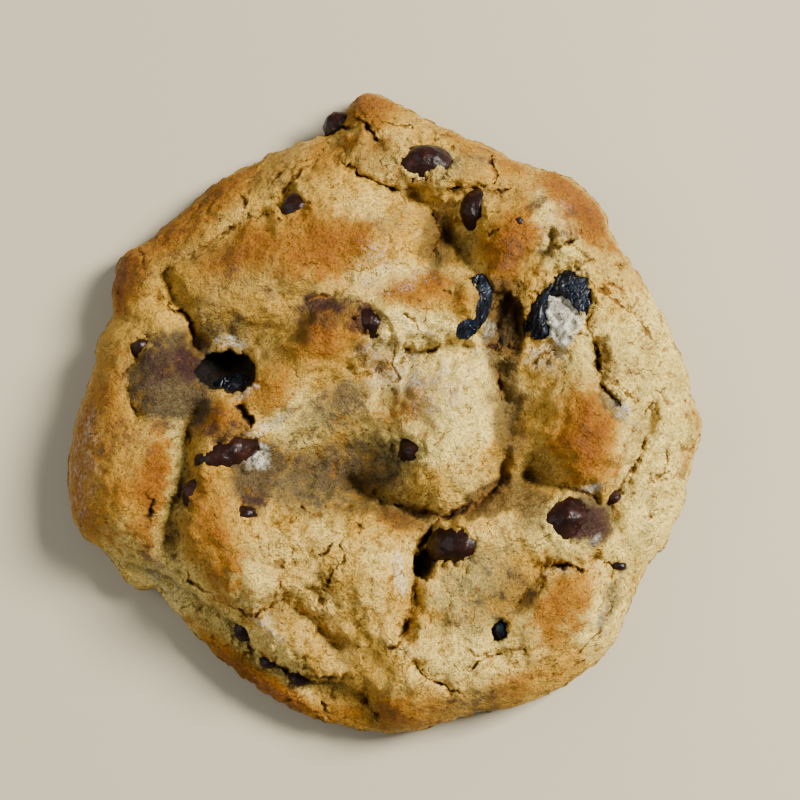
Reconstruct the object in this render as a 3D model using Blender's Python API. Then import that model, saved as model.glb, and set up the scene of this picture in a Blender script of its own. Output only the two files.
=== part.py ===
"""A chocolate chip cookie: one thick craggy round of dough, with its chocolate chips and dried berries.

The top is one height function. A table of mounds swells a level base, a table of creases cuts the folds
between them, and a rounded rim brings everything down to the outline. Along the lower left the dough has
spread into a low shelf. Pits sink into this ground, and a few laps of dough lie over a chip or a berry. The
chips and the berries lie at the height of the ground, each in a shallow seat and a pocket of its own, and
their tops stand out. Underneath, the cookie rests on a flat with three wide corners, and lifts a little from
the table outside it.

Sizes are in millimetres. A place on the top is a pair (across, up) from the middle of the cookie, as it is
seen from SIGHT_DISTANCE away and SIGHT_ANGLE above level, so a high point lies a little nearer the viewer
than a low one that is seen at the same place. The finished solids are in metres, +Z up, and the origin is
on the table under the middle of the cookie.
"""
import math

import bmesh
import bpy
import numpy as np
from mathutils import Matrix, Vector

MM = 0.001

# How the cookie is looked at when a place on it is measured.
SIGHT_DISTANCE = 400.0
SIGHT_ANGLE = math.radians(80)
SIGHT_HEIGHT = 10.0

# The body of the dough.
BASE_HEIGHT = 14.0
EDGE_HEIGHT = 5.0
EDGE_UNEVEN = 1.0
MEAN_RADIUS = 49.0
RIM_RISE = 11.8
RIM_UNEVEN = 1.8
RIM_REACH = 12.0
RIM_SLOPE = 0.8
RIM_RELIEF = 0.7
RIM_BLEND = 1.0
UNDERCUT = 2.8
UNDERCUT_UNEVEN = 0.9
UNDER_LIFT = 0.3
FOOT_RADIUS = 43.0
FOOT_CORNERS = 3
SHELF_HEIGHT = 7.4
SHELF_RISE = 2.8
SHELF_REACH = 3.2
SHELF_STEP = 5.0
WANDER = 0.45
UNEVEN = 0.35
CREASE_FLOOR = 0.6

# The mesh of the dough.
SQUARES = 118
UNDER_RINGS = 4
DOUGH_SHARE = 0.2

# The seat of each piece: how deep the dough is pressed in, as a share of its half height, and how wide, as a
# share of its plan. Then the gap of the pocket round it.
SEAT_DEPTH = 0.2
SEAT_WIDTH = 0.92
GAP = 0.3

# Points of the outline, from the right-hand side round by the top.
OUTLINE = [
    (50.6, -2.1), (49.1, 3.0), (45.3, 14.1), (41.1, 21.3), (36.3, 28.6), (35.2, 31.8), (32.8, 34.9),
    (28.0, 38.4), (23.5, 39.4), (17.3, 42.2), (7.2, 46.7), (-2.1, 51.2), (-4.6, 50.4), (-8.0, 45.6),
    (-11.0, 44.2), (-21.4, 39.8), (-26.4, 37.3), (-31.2, 33.1), (-38.1, 27.5), (-41.6, 25.6), (-43.5, 21.0),
    (-43.7, 15.5), (-45.8, 11.7), (-46.9, 6.4), (-49.9, -3.5), (-50.6, -10.7), (-49.4, -18.1), (-44.0, -23.0),
    (-41.9, -26.4), (-38.9, -28.2), (-36.8, -28.2), (-31.2, -34.4), (-24.2, -41.1), (-12.8, -48.2),
    (2.4, -51.1),
    (14.1, -48.2), (21.4, -46.9), (32.5, -41.0), (37.0, -36.0), (38.7, -31.8), (41.9, -24.6), (44.3, -21.9),
    (47.8, -14.2), (48.8, -9.4),
]

# name: (across, up, long reach, short reach, turn in degrees, rise)
MOUNDS = {
    "left_lobe": (-42.0, -6.0, 30.0, 13.0, 84, 3.0),
    "left_lobe_low": (-41.0, -17.0, 11.0, 10.0, 84, 1.5),
    "grey_mound": (-35.2, 6.0, 11.0, 8.0, 100, 2.6),
    "left_pale": (-35.5, -8.0, 11.0, 6.0, 80, 0.8),
    "rim_lobe_left": (-41.2, 21.0, 9.0, 5.5, 62, 1.6),
    "rim_strip": (-27.0, 32.0, 18.0, 6.0, 32, 0.6),
    "dome": (-18.0, 22.0, 25.0, 15.0, 12, 5.5),
    "dome_top": (-10.0, 26.5, 15.0, 10.0, 0, 3.0),
    "dome_right": (2.8, 25.0, 11.0, 9.5, 60, 4.5),
    "top_mound": (-8.0, 35.5, 16.0, 9.0, -28, 4.5),
    "chip_lump": (4.0, 41.5, 13.0, 7.5, -12, 4.0),
    "top_nub": (-2.0, 48.0, 8.5, 5.5, -10, 5.5),
    "upper_right": (12.6, 38.5, 9.0, 7.0, -20, 3.2),
    "upper_right_out": (23.5, 37.5, 12.0, 5.5, -18, 4.0),
    "orange_ridge": (21.0, 26.0, 17.0, 9.0, 60, 8.5),
    "orange_shoulder": (17.5, 32.5, 8.0, 6.0, 0, 3.5),
    "pale_shoulder": (30.0, 31.5, 11.5, 8.0, -45, 4.5),
    "crumbly": (35.0, 23.5, 10.0, 8.0, -50, 2.2),
    "right_dome": (38.0, 10.0, 14.5, 11.0, 105, 4.6),
    "right_rim": (45.5, -5.0, 17.0, 9.0, 76, 1.5),
    "brown_lump": (32.3, -4.5, 12.5, 11.0, 100, 8.5),
    "pale_patch": (28.5, 6.5, 11.0, 8.5, -10, 4.0),
    "centre_lump": (11.0, -5.0, 16.5, 14.5, 75, 5.5),
    "centre_high": (11.0, 6.0, 13.0, 9.0, 10, 3.0),
    "ridge_right": (9.0, 16.5, 14.0, 8.5, 10, 7.5),
    "ridge_mid": (-5.5, 13.3, 13.5, 9.0, 20, 7.5),
    "ridge_left": (-17.0, 3.6, 14.5, 8.5, 38, 6.5),
    "chip_mound_left": (-27.4, -4.6, 11.0, 7.0, 95, 5.0),
    "stained_slope": (-21.5, -11.5, 9.0, 7.0, 100, 2.5),
    "orange_low_left": (-27.2, -19.5, 16.5, 9.0, 112, 6.5),
    "orange_toe": (-21.5, -27.8, 10.0, 7.0, 15, 3.5),
    "plateau": (-13.2, -21.5, 15.0, 11.5, -10, 4.2),
    "low_centre": (-1.5, -27.5, 15.5, 11.0, 95, 4.6),
    "low_left_pale": (-15.4, -36.0, 13.0, 8.5, -28, 2.6),
    "low_right": (15.4, -27.0, 18.0, 14.0, 75, 3.6),
    "low_right_top": (15.5, -18.0, 13.0, 6.5, 8, 2.6),
    "chip_mound_right": (29.0, -17.5, 12.0, 9.0, -5, 5.2),
    "orange_low_right": (29.0, -32.0, 13.5, 11.5, 65, 5.8),
    "bottom_lump": (5.0, -44.0, 14.0, 9.0, 5, 2.0),
    "bottom_ridge": (4.6, -38.5, 9.0, 5.5, 110, 2.0),
    "bottom_right": (20.0, -41.6, 15.0, 7.0, 14, 1.5),
    "right_foot": (40.4, -18.8, 13.0, 8.0, 72, 0.6),
    "basin": (-7.5, -9.6, 16.5, 9.5, 12, -5.4),
    "hollow_top": (-24.5, 10.5, 10.5, 6.5, 10, -3.6),
    "berry_bay": (22.0, 15.0, 8.5, 7.0, 60, -2.4),
    "low_left_dip": (-6.0, -37.5, 8.0, 6.0, -40, -1.5),
    "foot_right_dip": (36.5, -27.5, 9.0, 4.0, 75, -1.5),
}

# name: (points along the crease, depth, reach of its slope on the left of the way, reach on the right)
CREASES = {
    "left_high": ([(-34.1, 24.2), (-34.6, 20.5), (-34.1, 18.1), (-32.0, 16.5), (-30.9, 14.1), (-29.9, 8.4)],
                  3.6, 4, 4.5),
    "left_low": ([(-27.5, 2.5), (-31.2, -1.1), (-31.8, -9.1), (-34.2, -16.3), (-33.9, -20.3), (-32.8, -24.5)],
                 4.4, 3.5, 7.5),
    "strip": ([(-34.1, 23.7), (-28.8, 26.4), (-23.2, 30.9), (-19.7, 31.8), (-16.8, 32.0)], 2.6, 4, 5),
    "strip_high": ([(-16.8, 32.0), (-16.3, 34.1), (-14.9, 37.0), (-10.1, 41.3), (-5.9, 45.3)], 3.4, 3.5, 4.5),
    "rim_step": ([(-44.0, 15.5), (-41.5, 17.8), (-38.0, 18.2), (-35.5, 18.8)], 2.2, 3, 4),
    "grey_ring": ([(-38.1, 14.6), (-38.2, 11.7), (-41.1, 6.9), (-41.1, 3.7), (-39.2, -2.0)], 1.5, 2.5, 3),
    "top": ([(-6.9, 40.5), (-4.5, 38.1), (0.2, 36.3), (2.4, 35.4), (4.8, 36.3)], 1.5, 3, 3),
    "nub": ([(-6.5, 46.0), (-3.0, 45.6), (-1.2, 44.0), (0.8, 45.4), (5.0, 46.0)], 2.6, 3, 2.5),
    "dome_side": ([(2.4, 35.4), (7.2, 32.8), (9.1, 28.5), (7.8, 25.8), (8.5, 22.5)], 2.8, 3.5, 4),
    "dark_fold": ([(9.0, 35.0), (13.6, 35.8), (22.4, 35.8)], 2.4, 2.5, 2.5),
    "upper_notch": ([(17.3, 42.2), (17.0, 39.7), (17.8, 38.1), (16.8, 36.0)], 2.0, 2.5, 2.5),
    "ridge_foot": ([(27.7, 31.7), (25.6, 25.8), (20.3, 19.4), (18.4, 16.2), (17.6, 12.5), (18.2, 9.0)],
                   4.4, 3.2, 4),
    "ridge_left_foot": ([(8.5, 30.5), (11.5, 27.5), (14.2, 24.0), (16.8, 18.1), (16.8, 14.0)], 3.8, 4, 4),
    "right_dome_left": ([(33.1, 12.5), (34.1, 9.8), (34.4, 4.0), (38.2, 0.8)], 3.6, 3, 3.5),
    "crumbly_top": ([(27.5, 27.5), (31.2, 26.1), (35.2, 21.3), (34.5, 18.5)], 1.4, 2, 2),
    "right_line": ([(36.3, 18.9), (39.2, 16.5), (43.5, 10.9)], 1.0, 2, 2),
    "right_cleft": ([(46.5, 6.5), (44.3, 5.2), (41.4, -2.4), (40.2, -7.8), (36.3, -15.5), (36.0, -21.6)],
                    2.8, 3.5, 3),
    "centre_side": ([(18.4, 9.0), (18.1, 5.0), (20.0, -1.9), (20.3, -5.1)], 3.4, 5, 4.5),
    "centre_foot": ([(-8.5, -10.0), (-0.8, -13.9), (4.8, -15.8), (10.1, -16.6), (14.9, -14.6), (18.4, -10.7),
                     (20.3, -4.5)], 4.6, 5, 3),
    "brown_foot": ([(20.5, -9.5), (25.6, -10.9), (30.7, -12.5), (35.5, -14.6)], 3.8, 4.5, 3.2),
    "low_cleft": ([(9.0, -16.6), (5.8, -21.1), (4.8, -26.4), (4.6, -30.7), (2.1, -37.1)], 3.8, 3.5, 4),
    "pale_left_top": ([(-20.8, -32.8), (-16.0, -30.1), (-10.7, -34.2), (-6.4, -39.5)], 3.2, 3.5, 3.5),
    "right_tuck": ([(20.0, -33.1), (23.2, -28.0), (24.8, -25.4), (30.4, -24.6), (36.0, -23.0)], 3.2, 3.5, 3),
    "right_foot": ([(36.0, -21.6), (36.3, -25.9), (34.4, -33.9), (29.6, -39.2), (21.6, -44.3)], 2.2, 3, 3.5),
    "bottom": ([(4.8, -38.7), (5.3, -41.1), (12.0, -44.8)], 2.4, 3, 2.5),
    "bottom_right": ([(12.0, -44.8), (14.9, -40.0), (19.7, -38.2)], 1.4, 2.5, 2.5),
    "ridge_low": ([(2.0, 11.5), (4.3, 9.8), (12.3, 10.9), (14.9, 9.6)], 2.4, 4, 4),
    "arch_left": ([(-16.0, 10.1), (-13.9, 14.1), (-11.2, 17.3), (-6.4, 19.2)], 1.8, 4, 2.5),
    "ridge_slope": ([(1.0, 8.0), (-6.4, 6.6), (-13.6, 0.2), (-20.8, -4.0)], 1.6, 4, 5),
}

# The step down to the low shelf, from the left-hand outline to the bottom one. The shelf is on its right.
SHELF = [(-46.5, -22.0), (-43.7, -23.2), (-35.2, -25.6), (-31.8, -28.0), (-23.8, -33.4), (-20.6, -38.6),
         (-14.9, -41.9), (-6.4, -43.4), (-2.4, -45.9), (-0.8, -50.0)]

# Open hollows: (across, up, half length, half width, turn in degrees, depth)
PITS = {
    "berry_hole": (-25.3, 6.6, 4.7, 3.1, -5, 4.6),
    "cleft_pit": (6.4, -24.2, 2.4, 1.8, 60, 3.2),
    "cleft_toe": (3.4, -35.0, 2.2, 1.6, 60, 1.8),
    "small_berry_hole": (18.3, -34.9, 1.9, 1.2, 100, 1.6),
    "bay_gap": (19.7, 14.6, 2.4, 5.0, 10, 2.4),
}

# Dough that lies over a berry: (across, up, half length, half width, turn in degrees, height over the ground)
LAPS = {
    "berry_tongue": (28.5, 14.6, 4.9, 2.7, 102, 0.9),
}

# name: (across, up, half length, half width, half height, turn in degrees, how far the top stands out)
CHIPS = {
    "chip_edge": (-7.9, 46.4, 3.0, 2.9, 2.5, 60, 1.8),
    "chip_top": (6.9, 41.1, 4.9, 3.6, 2.9, 6, 1.7),
    "chip_upper_left": (-14.9, 33.6, 3.2, 2.8, 2.4, 30, 1.2),
    "chip_ridge_side": (13.5, 32.2, 3.6, 2.6, 2.6, 80, 1.3),
    "chip_ridge_sliver": (21.6, 30.7, 1.7, 1.3, 1.2, 20, 0.6),
    "chip_mid_ridge": (-2.4, 14.4, 3.4, 2.6, 2.4, -35, 0.5),
    "chip_centre": (3.7, -6.1, 3.1, 2.5, 2.3, -5, 1.0),
    "chip_broken": (-24.2, -6.4, 5.2, 3.0, 2.6, 22, 0.9),
    "chip_left_edge": (-31.2, -12.6, 3.0, 2.2, 2.2, 80, 1.3),
    "chip_left_small": (-21.8, -16.0, 2.1, 1.8, 1.6, 10, 0.8),
    "chip_cleft": (9.9, -21.2, 5.0, 3.4, 2.8, 8, 1.5),
    "chip_right": (29.1, -16.9, 4.0, 3.4, 2.6, 35, 1.2),
    "chip_right_bit": (37.0, -13.6, 1.3, 1.0, 1.0, 30, 0.6),
    "chip_low_left": (-23.2, -35.2, 2.1, 1.6, 1.6, 70, 0.9),
    "chip_shelf": (-19.0, -40.2, 1.5, 1.2, 1.1, 20, 0.7),
    "chip_shelf_right": (-13.9, -43.0, 1.7, 1.1, 1.1, -10, 0.7),
    "chip_grey_mound": (-39.5, 10.9, 1.7, 1.3, 1.2, 30, 0.7),
    "chip_right_foot": (37.8, -24.5, 1.4, 1.0, 1.0, -10, 0.6),
}

# name: (across, up, half length, half width, half height, turn in degrees, how far the top stands out)
BERRIES = {
    "dried_berry_big": (27.3, 15.9, 7.8, 5.6, 3.6, 62, 2.0),
    "dried_berry_tall": (15.3, 16.6, 5.3, 2.4, 2.8, 82, 1.2),
    "dried_berry_hole": (-25.3, 6.5, 4.5, 3.0, 2.4, -5, -1.7),
    "dried_berry_small": (18.3, -35.0, 1.5, 1.1, 1.1, 100, -0.5),
}

# The fold in a berry that a lap of dough fills, from the berry's own middle: (along, aside, half length, half
# width, turn in degrees, depth)
FOLDS = {
    "dried_berry_big": (-0.7, -1.8, 5.4, 3.1, 40, 3.2),
}
LEAST_LEFT = 0.1

# The half of a chip's outline that is spun: (share of the half width, share of the half height).
CHIP_PROFILE = [
    (0.0, -1.0), (0.66, -0.96), (0.98, -0.58), (0.96, -0.1), (0.74, 0.45), (0.40, 0.82), (0.0, 1.0),
]
CHIP_SIDES = 10
BERRY_FINENESS = 3
WRINKLE = 0.10


def noise(x, y, seed):
    """Smooth gradient noise over the plane, about -1 to 1, with one cell to a unit."""
    column = np.floor(x).astype(np.int64)
    row = np.floor(y).astype(np.int64)

    def corner(i, j):
        mixed = (i * 374761393 + j * 668265263 + seed * 974634777) & 0xFFFFFFFF
        mixed = ((mixed ^ (mixed >> 13)) * 1274126177) & 0xFFFFFFFF
        angle = (mixed ^ (mixed >> 16)) % 4096 / 4096 * 2 * math.pi
        return np.cos(angle) * (x - i) + np.sin(angle) * (y - j)

    across = x - column
    along = y - row
    across = across ** 3 * (across * (across * 6 - 15) + 10)
    along = along ** 3 * (along * (along * 6 - 15) + 10)
    low = corner(column, row) * (1 - across) + corner(column + 1, row) * across
    high = corner(column, row + 1) * (1 - across) + corner(column + 1, row + 1) * across
    return (low * (1 - along) + high * along) * 1.5


def fractal(u, v, size, seed, octaves=3):
    """Noise whose largest swells are `size` across, with finer ones on them."""
    total = np.zeros_like(u)
    weight = 1.0
    for octave in range(octaves):
        total = total + weight * noise(u / size + 17.3 * octave, v / size - 9.1 * octave, seed + octave)
        size = size / 2.03
        weight = weight * 0.5
    return total


def smoothstep(low, high, x):
    t = np.clip((x - low) / (high - low), 0, 1)
    return t * t * (3 - 2 * t)


def shoulder(share):
    """1 where the share is 0, falling to 0 at a share of 1 as the side of a round lump does."""
    return 1 - np.sqrt(np.clip(1 - (1 - np.clip(share, 0, 1)) ** 2, 0, 1))


def outline_radius(angle):
    """How far the outline is from the middle in each direction, on a smooth closed curve through OUTLINE."""
    points = np.array(OUTLINE)
    turns = np.arctan2(points[:, 1], points[:, 0])
    order = np.argsort(turns)
    turns = turns[order]
    reach = np.hypot(points[:, 0], points[:, 1])[order]
    turns = np.concatenate([turns[-2:] - 2 * math.pi, turns, turns[:2] + 2 * math.pi])
    reach = np.concatenate([reach[-2:], reach, reach[:2]])
    k = np.clip(np.searchsorted(turns, angle, side="right") - 1, 1, len(turns) - 3)
    span = turns[k + 1] - turns[k]
    t = (angle - turns[k]) / span
    slope_in = (reach[k + 1] - reach[k - 1]) / (turns[k + 1] - turns[k - 1]) * span
    slope_out = (reach[k + 2] - reach[k]) / (turns[k + 2] - turns[k]) * span
    return ((2 * t ** 3 - 3 * t ** 2 + 1) * reach[k] + (t ** 3 - 2 * t ** 2 + t) * slope_in
            + (3 * t ** 2 - 2 * t ** 3) * reach[k + 1] + (t ** 3 - t ** 2) * slope_out)


def around_rim(angle, size, seed):
    """Noise that changes only with the direction from the middle, with about 2 pi x size lumps in a turn."""
    return noise(size * np.cos(angle), size * np.sin(angle), seed)


def edge_height(angle):
    """The height at which the side of the dough reaches furthest out."""
    return EDGE_HEIGHT + EDGE_UNEVEN * around_rim(angle, 2.2, 71)


def beside(u, v, points):
    """Each place's distance from a line, its side of it (1 left, -1 right) and its share of the way along."""
    points = np.array(points)
    legs = np.hypot(*np.diff(points, axis=0).T)
    begun = np.concatenate([[0], np.cumsum(legs)])
    distance = np.full_like(u, np.inf)
    side = np.ones_like(u)
    way = np.zeros_like(u)
    for k, leg in enumerate(legs):
        du, dv = (points[k + 1] - points[k]) / leg
        across, up = u - points[k][0], v - points[k][1]
        along = np.clip(across * du + up * dv, 0, leg)
        here = np.hypot(across - along * du, up - along * dv)
        nearer = here < distance
        distance = np.where(nearer, here, distance)
        side = np.where(nearer, np.sign(du * up - dv * across), side)
        way = np.where(nearer, (begun[k] + along) / begun[-1], way)
    return distance, side, way


def close_to(u, v, points, reach):
    """Which places lie in the box round a line, widened by a reach."""
    low = np.min(points, axis=0) - reach
    high = np.max(points, axis=0) + reach
    return np.flatnonzero((u > low[0]) & (u < high[0]) & (v > low[1]) & (v < high[1]))


def within(u, v, place):
    """0 at the middle of an ellipse (across, up, half length, half width, turn), 1 on its line, squared."""
    across, up, long, short, turn = place
    c, s = math.cos(math.radians(turn)), math.sin(math.radians(turn))
    p = ((u - across) * c + (v - up) * s) / long
    q = ((v - up) * c - (u - across) * s) / short
    return p * p + q * q


def ground(u, v):
    """The height of the dough at each place, before its pits, seats and laps."""
    wu = u + WANDER * fractal(u, v, 4.0, 3)
    wv = v + WANDER * fractal(u, v, 4.0, 11)
    z = np.full_like(u, BASE_HEIGHT)
    for *place, rise in MOUNDS.values():
        z += rise * np.clip(1 - within(wu, wv, place), 0, 1) ** 1.6
    for points, depth, left, right in CREASES.values():
        near = close_to(wu, wv, points, max(left, right))
        distance, side, way = beside(wu[near], wv[near], points)
        fade = smoothstep(0, 0.14, way) * smoothstep(1, 0.86, way)
        reach = np.where(side > 0, left, right)
        full = shoulder(CREASE_FLOOR / reach)
        z[near] -= depth * fade * shoulder(np.hypot(distance, CREASE_FLOOR) / reach) / full
    angle = np.arctan2(v, u)
    edge = edge_height(angle)
    inset = np.maximum(outline_radius(angle) - np.hypot(u, v), 0)
    rise = RIM_RISE + RIM_UNEVEN * around_rim(angle, 2.6, 83)
    rim = edge + rise * (1 - shoulder(inset / RIM_REACH)) + RIM_SLOPE * np.maximum(inset - RIM_REACH, 0)
    rim += RIM_RELIEF * (z - BASE_HEIGHT) * smoothstep(0, RIM_REACH, inset)
    z = -RIM_BLEND * np.log(np.exp(-z / RIM_BLEND) + np.exp(-rim / RIM_BLEND))
    distance, side, _ = beside(wu, wv, SHELF)
    shelf = np.minimum(SHELF_HEIGHT + 0.5 * fractal(u, v, 6.0, 31),
                       edge + SHELF_RISE * (1 - shoulder(inset / SHELF_REACH)))
    z = np.where(side > 0, shelf + (z - shelf) * (1 - shoulder(distance / SHELF_STEP)), shelf)
    return z + UNEVEN * fractal(u, v, 5.0, 51) * smoothstep(0, 2, inset)


def pressed(u, v):
    """How much the pits, the seats of the pieces and the laps over them change the ground."""
    ru = u + 0.3 * fractal(u, v, 1.8, 161)
    rv = v + 0.3 * fractal(u, v, 1.8, 167)
    change = np.zeros_like(u)
    for *place, depth in PITS.values():
        change -= depth * smoothstep(1.25, 0.75, within(ru, rv, place))
    for across, up, long, short, half_height, turn, _ in [*CHIPS.values(), *BERRIES.values()]:
        seat = within(ru, rv, (across, up, SEAT_WIDTH * long, SEAT_WIDTH * short, turn))
        change -= SEAT_DEPTH * half_height * smoothstep(1.25, 0.7, seat)
    for *place, level in LAPS.values():
        change += (level - change) * smoothstep(1.25, 0.6, within(ru, rv, place))
    return change


def height(u, v):
    """The height of the top of the dough at each place."""
    return ground(u, v) + pressed(u, v)


def seen_at(u, v, z):
    """The point at height z that is seen at (u, v), in millimetres."""
    c, s = math.cos(SIGHT_ANGLE), math.sin(SIGHT_ANGLE)
    eye_y, eye_z = -SIGHT_DISTANCE * c, SIGHT_HEIGHT + SIGHT_DISTANCE * s
    share = (eye_z - z) / (eye_z - SIGHT_HEIGHT - c * v)
    return u * share, eye_y + (s * v - eye_y) * share, z


def place_dough(mesh):
    """Lays the flat grid of the mesh over the cookie, and gives the middle of its plan.

    The grid's square becomes a round, and its rings step evenly over the rim. What was extruded from its
    edge, at whole steps below the grid, becomes the side that curls in under the edge.
    """
    flat = np.empty(len(mesh.vertices) * 3)
    mesh.vertices.foreach_get("co", flat)
    x, y, ring = flat.reshape(-1, 3).T
    x, y = x * np.sqrt(1 - y * y / 2), y * np.sqrt(1 - x * x / 2)
    angle = np.arctan2(y, x)
    radius = outline_radius(angle)
    from_edge = 1 - np.clip(np.hypot(x, y), 0, 1)
    over_rim = math.pi / 2 * math.hypot(RIM_RISE, RIM_REACH) / math.sqrt(2)
    rim_share = over_rim / (over_rim + MEAN_RADIUS - RIM_REACH)
    quarter = np.clip(from_edge / rim_share, 0, 1) * math.pi / 2
    inset = (RIM_REACH * (1 - np.cos(quarter))
             + (MEAN_RADIUS - RIM_REACH) * np.clip((from_edge - rim_share) / (1 - rim_share), 0, 1))
    inward = 1 - inset / MEAN_RADIUS
    under = np.minimum(-ring / UNDER_RINGS, 1) * math.pi / 2
    undercut = UNDERCUT + UNDERCUT_UNEVEN * around_rim(angle, 3.4, 97)
    out = radius * inward - undercut * (1 - np.cos(under))
    foot = ring < -UNDER_RINGS
    out[foot] = FOOT_RADIUS
    u, v = out * np.cos(angle), out * np.sin(angle)
    side = UNDER_LIFT + (edge_height(angle) - UNDER_LIFT) * (1 - np.sin(under))
    z = np.where(ring < 0, side, height(u, v))
    z[foot] = 0
    px, py, pz = seen_at(u, v, z)
    middle = ((px.min() + px.max()) / 2, (py.min() + py.max()) / 2)
    solid = np.stack([px - middle[0], py - middle[1], pz], axis=1) * MM
    mesh.vertices.foreach_set("co", solid.ravel())
    mesh.update()
    return middle


def dough_grid():
    """A flat square grid with its edge extruded down in rings, drawn in below to the corners of one flat."""
    bm = bmesh.new()
    bmesh.ops.create_grid(bm, x_segments=SQUARES, y_segments=SQUARES, size=1.0)
    edges = [edge for edge in bm.edges if edge.is_boundary]
    for _ in range(UNDER_RINGS):
        grown = bmesh.ops.extrude_edge_only(bm, edges=edges)["geom"]
        edges = [item for item in grown if isinstance(item, bmesh.types.BMEdge) and item.is_boundary]
        for corner in {corner for edge in edges for corner in edge.verts}:
            corner.co.z -= 1
    grown = bmesh.ops.extrude_edge_only(bm, edges=edges)["geom"]
    foot = [item for item in grown if isinstance(item, bmesh.types.BMVert)]
    for corner in foot:
        step = 2 * math.pi / FOOT_CORNERS
        turn = step * round(math.atan2(corner.co.y, corner.co.x) / step)
        corner.co = (math.cos(turn) / 2, math.sin(turn) / 2, -UNDER_RINGS - 1)
    bmesh.ops.remove_doubles(bm, verts=foot, dist=1e-4)
    bmesh.ops.contextual_create(bm, geom=[edge for edge in bm.edges if edge.is_boundary])
    bmesh.ops.recalc_face_normals(bm, faces=bm.faces)
    mesh = bpy.data.meshes.new("cookie_dough")
    bm.to_mesh(mesh)
    bm.free()
    return mesh


def resting_frame(u, v, turn, middle):
    """A frame on the dough at (u, v): z along the mean slope's normal, x turned from the way across."""
    reach = 2.0
    around = np.arange(8) * math.pi / 4
    us, vs = u + reach * np.cos(around), v + reach * np.sin(around)
    points = [Vector(point) for point in zip(*seen_at(us, vs, ground(us, vs)))]
    normal = Vector()
    for a, b in zip(points, points[1:] + points[:1]):
        normal += a.cross(b)
    normal.normalize()
    centre = sum(points, Vector()) / len(points) - Vector((*middle, 0))
    across = Vector((math.cos(math.radians(turn)), math.sin(math.radians(turn)), 0))
    across = (across - normal * across.dot(normal)).normalized()
    frame = Matrix((across, normal.cross(across), normal)).transposed().to_4x4()
    frame.translation = centre
    return frame


def chip_shape(half_length, half_width, half_height):
    """A chocolate drop: a spun profile, wide and flat below and domed to a blunt tip."""
    bm = bmesh.new()
    corners = [bm.verts.new((half_length * out, 0, half_height * up)) for out, up in CHIP_PROFILE]
    edges = [bm.edges.new(pair) for pair in zip(corners, corners[1:])]
    bmesh.ops.spin(bm, geom=corners + edges, cent=(0, 0, 0), axis=(0, 0, 1), angle=2 * math.pi,
                   steps=CHIP_SIDES, use_merge=True)
    bmesh.ops.remove_doubles(bm, verts=bm.verts, dist=1e-4)
    bmesh.ops.scale(bm, vec=(1, half_width / half_length, 1), verts=bm.verts)
    bmesh.ops.recalc_face_normals(bm, faces=bm.faces)
    return bm


def berry_shape(half_length, half_width, half_height):
    """A dried berry: a ball drawn out to an oval, with its skin drawn in along a few wrinkles."""
    bm = bmesh.new()
    bmesh.ops.create_icosphere(bm, subdivisions=BERRY_FINENESS, radius=1.0)
    for corner in bm.verts:
        x, y, z = corner.co
        wave = math.sin(5 * x + 2 * z + 1) * math.sin(4 * y - 3 * z) + 0.6 * math.sin(9 * y + 4 * x)
        corner.co *= 1 - WRINKLE * (1 + wave) / 2
    bmesh.ops.scale(bm, vec=(half_length, half_width, half_height), verts=bm.verts)
    return bm


def fold(bm, place, extra):
    """Presses the top of a berry down over an ellipse, to just above its waist."""
    across, up, long, short, turn, depth = place
    hollow = (across, up, long - 2 * extra, short - 2 * extra, turn)
    for corner in bm.verts:
        if corner.co.z > 0:
            folded = (depth - extra) * smoothstep(1.0, 0.2, within(corner.co.x, corner.co.y, hollow))
            floor = min(corner.co.z, LEAST_LEFT * corner.co.z + extra)
            corner.co.z = max(corner.co.z - folded, floor)


def inlay(name, shape, row, middle, material, sockets):
    """One chip or berry in the dough, and the wider pocket that is cut for it."""
    u, v, half_length, half_width, half_height, turn, stands_out = row
    frame = resting_frame(u, v, turn, middle)
    frame.translation += frame.col[2].xyz * (stands_out - half_height)
    for owner, title, extra in ((None, name, 0), (sockets, name + "_pocket", GAP)):
        bm = shape(half_length + extra, half_width + extra, half_height + extra)
        if name in FOLDS:
            fold(bm, FOLDS[name], extra)
        bm.transform(Matrix.Scale(MM, 4) @ frame)
        mesh = bpy.data.meshes.new(title)
        bm.to_mesh(mesh)
        bm.free()
        mesh.shade_smooth()
        piece = bpy.data.objects.new(title, mesh)
        if owner:
            owner.objects.link(piece)
            piece.hide_render = True
            piece.display_type = "WIRE"
        else:
            mesh.materials.append(material)
            bpy.context.collection.objects.link(piece)


def finish(name, colour, roughness):
    material = bpy.data.materials.new(name)
    material.use_nodes = True
    shader = material.node_tree.nodes["Principled BSDF"]
    shader.inputs["Base Color"].default_value = (*colour, 1)
    shader.inputs["Roughness"].default_value = roughness
    shader.inputs["Metallic"].default_value = 0
    return material


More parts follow.
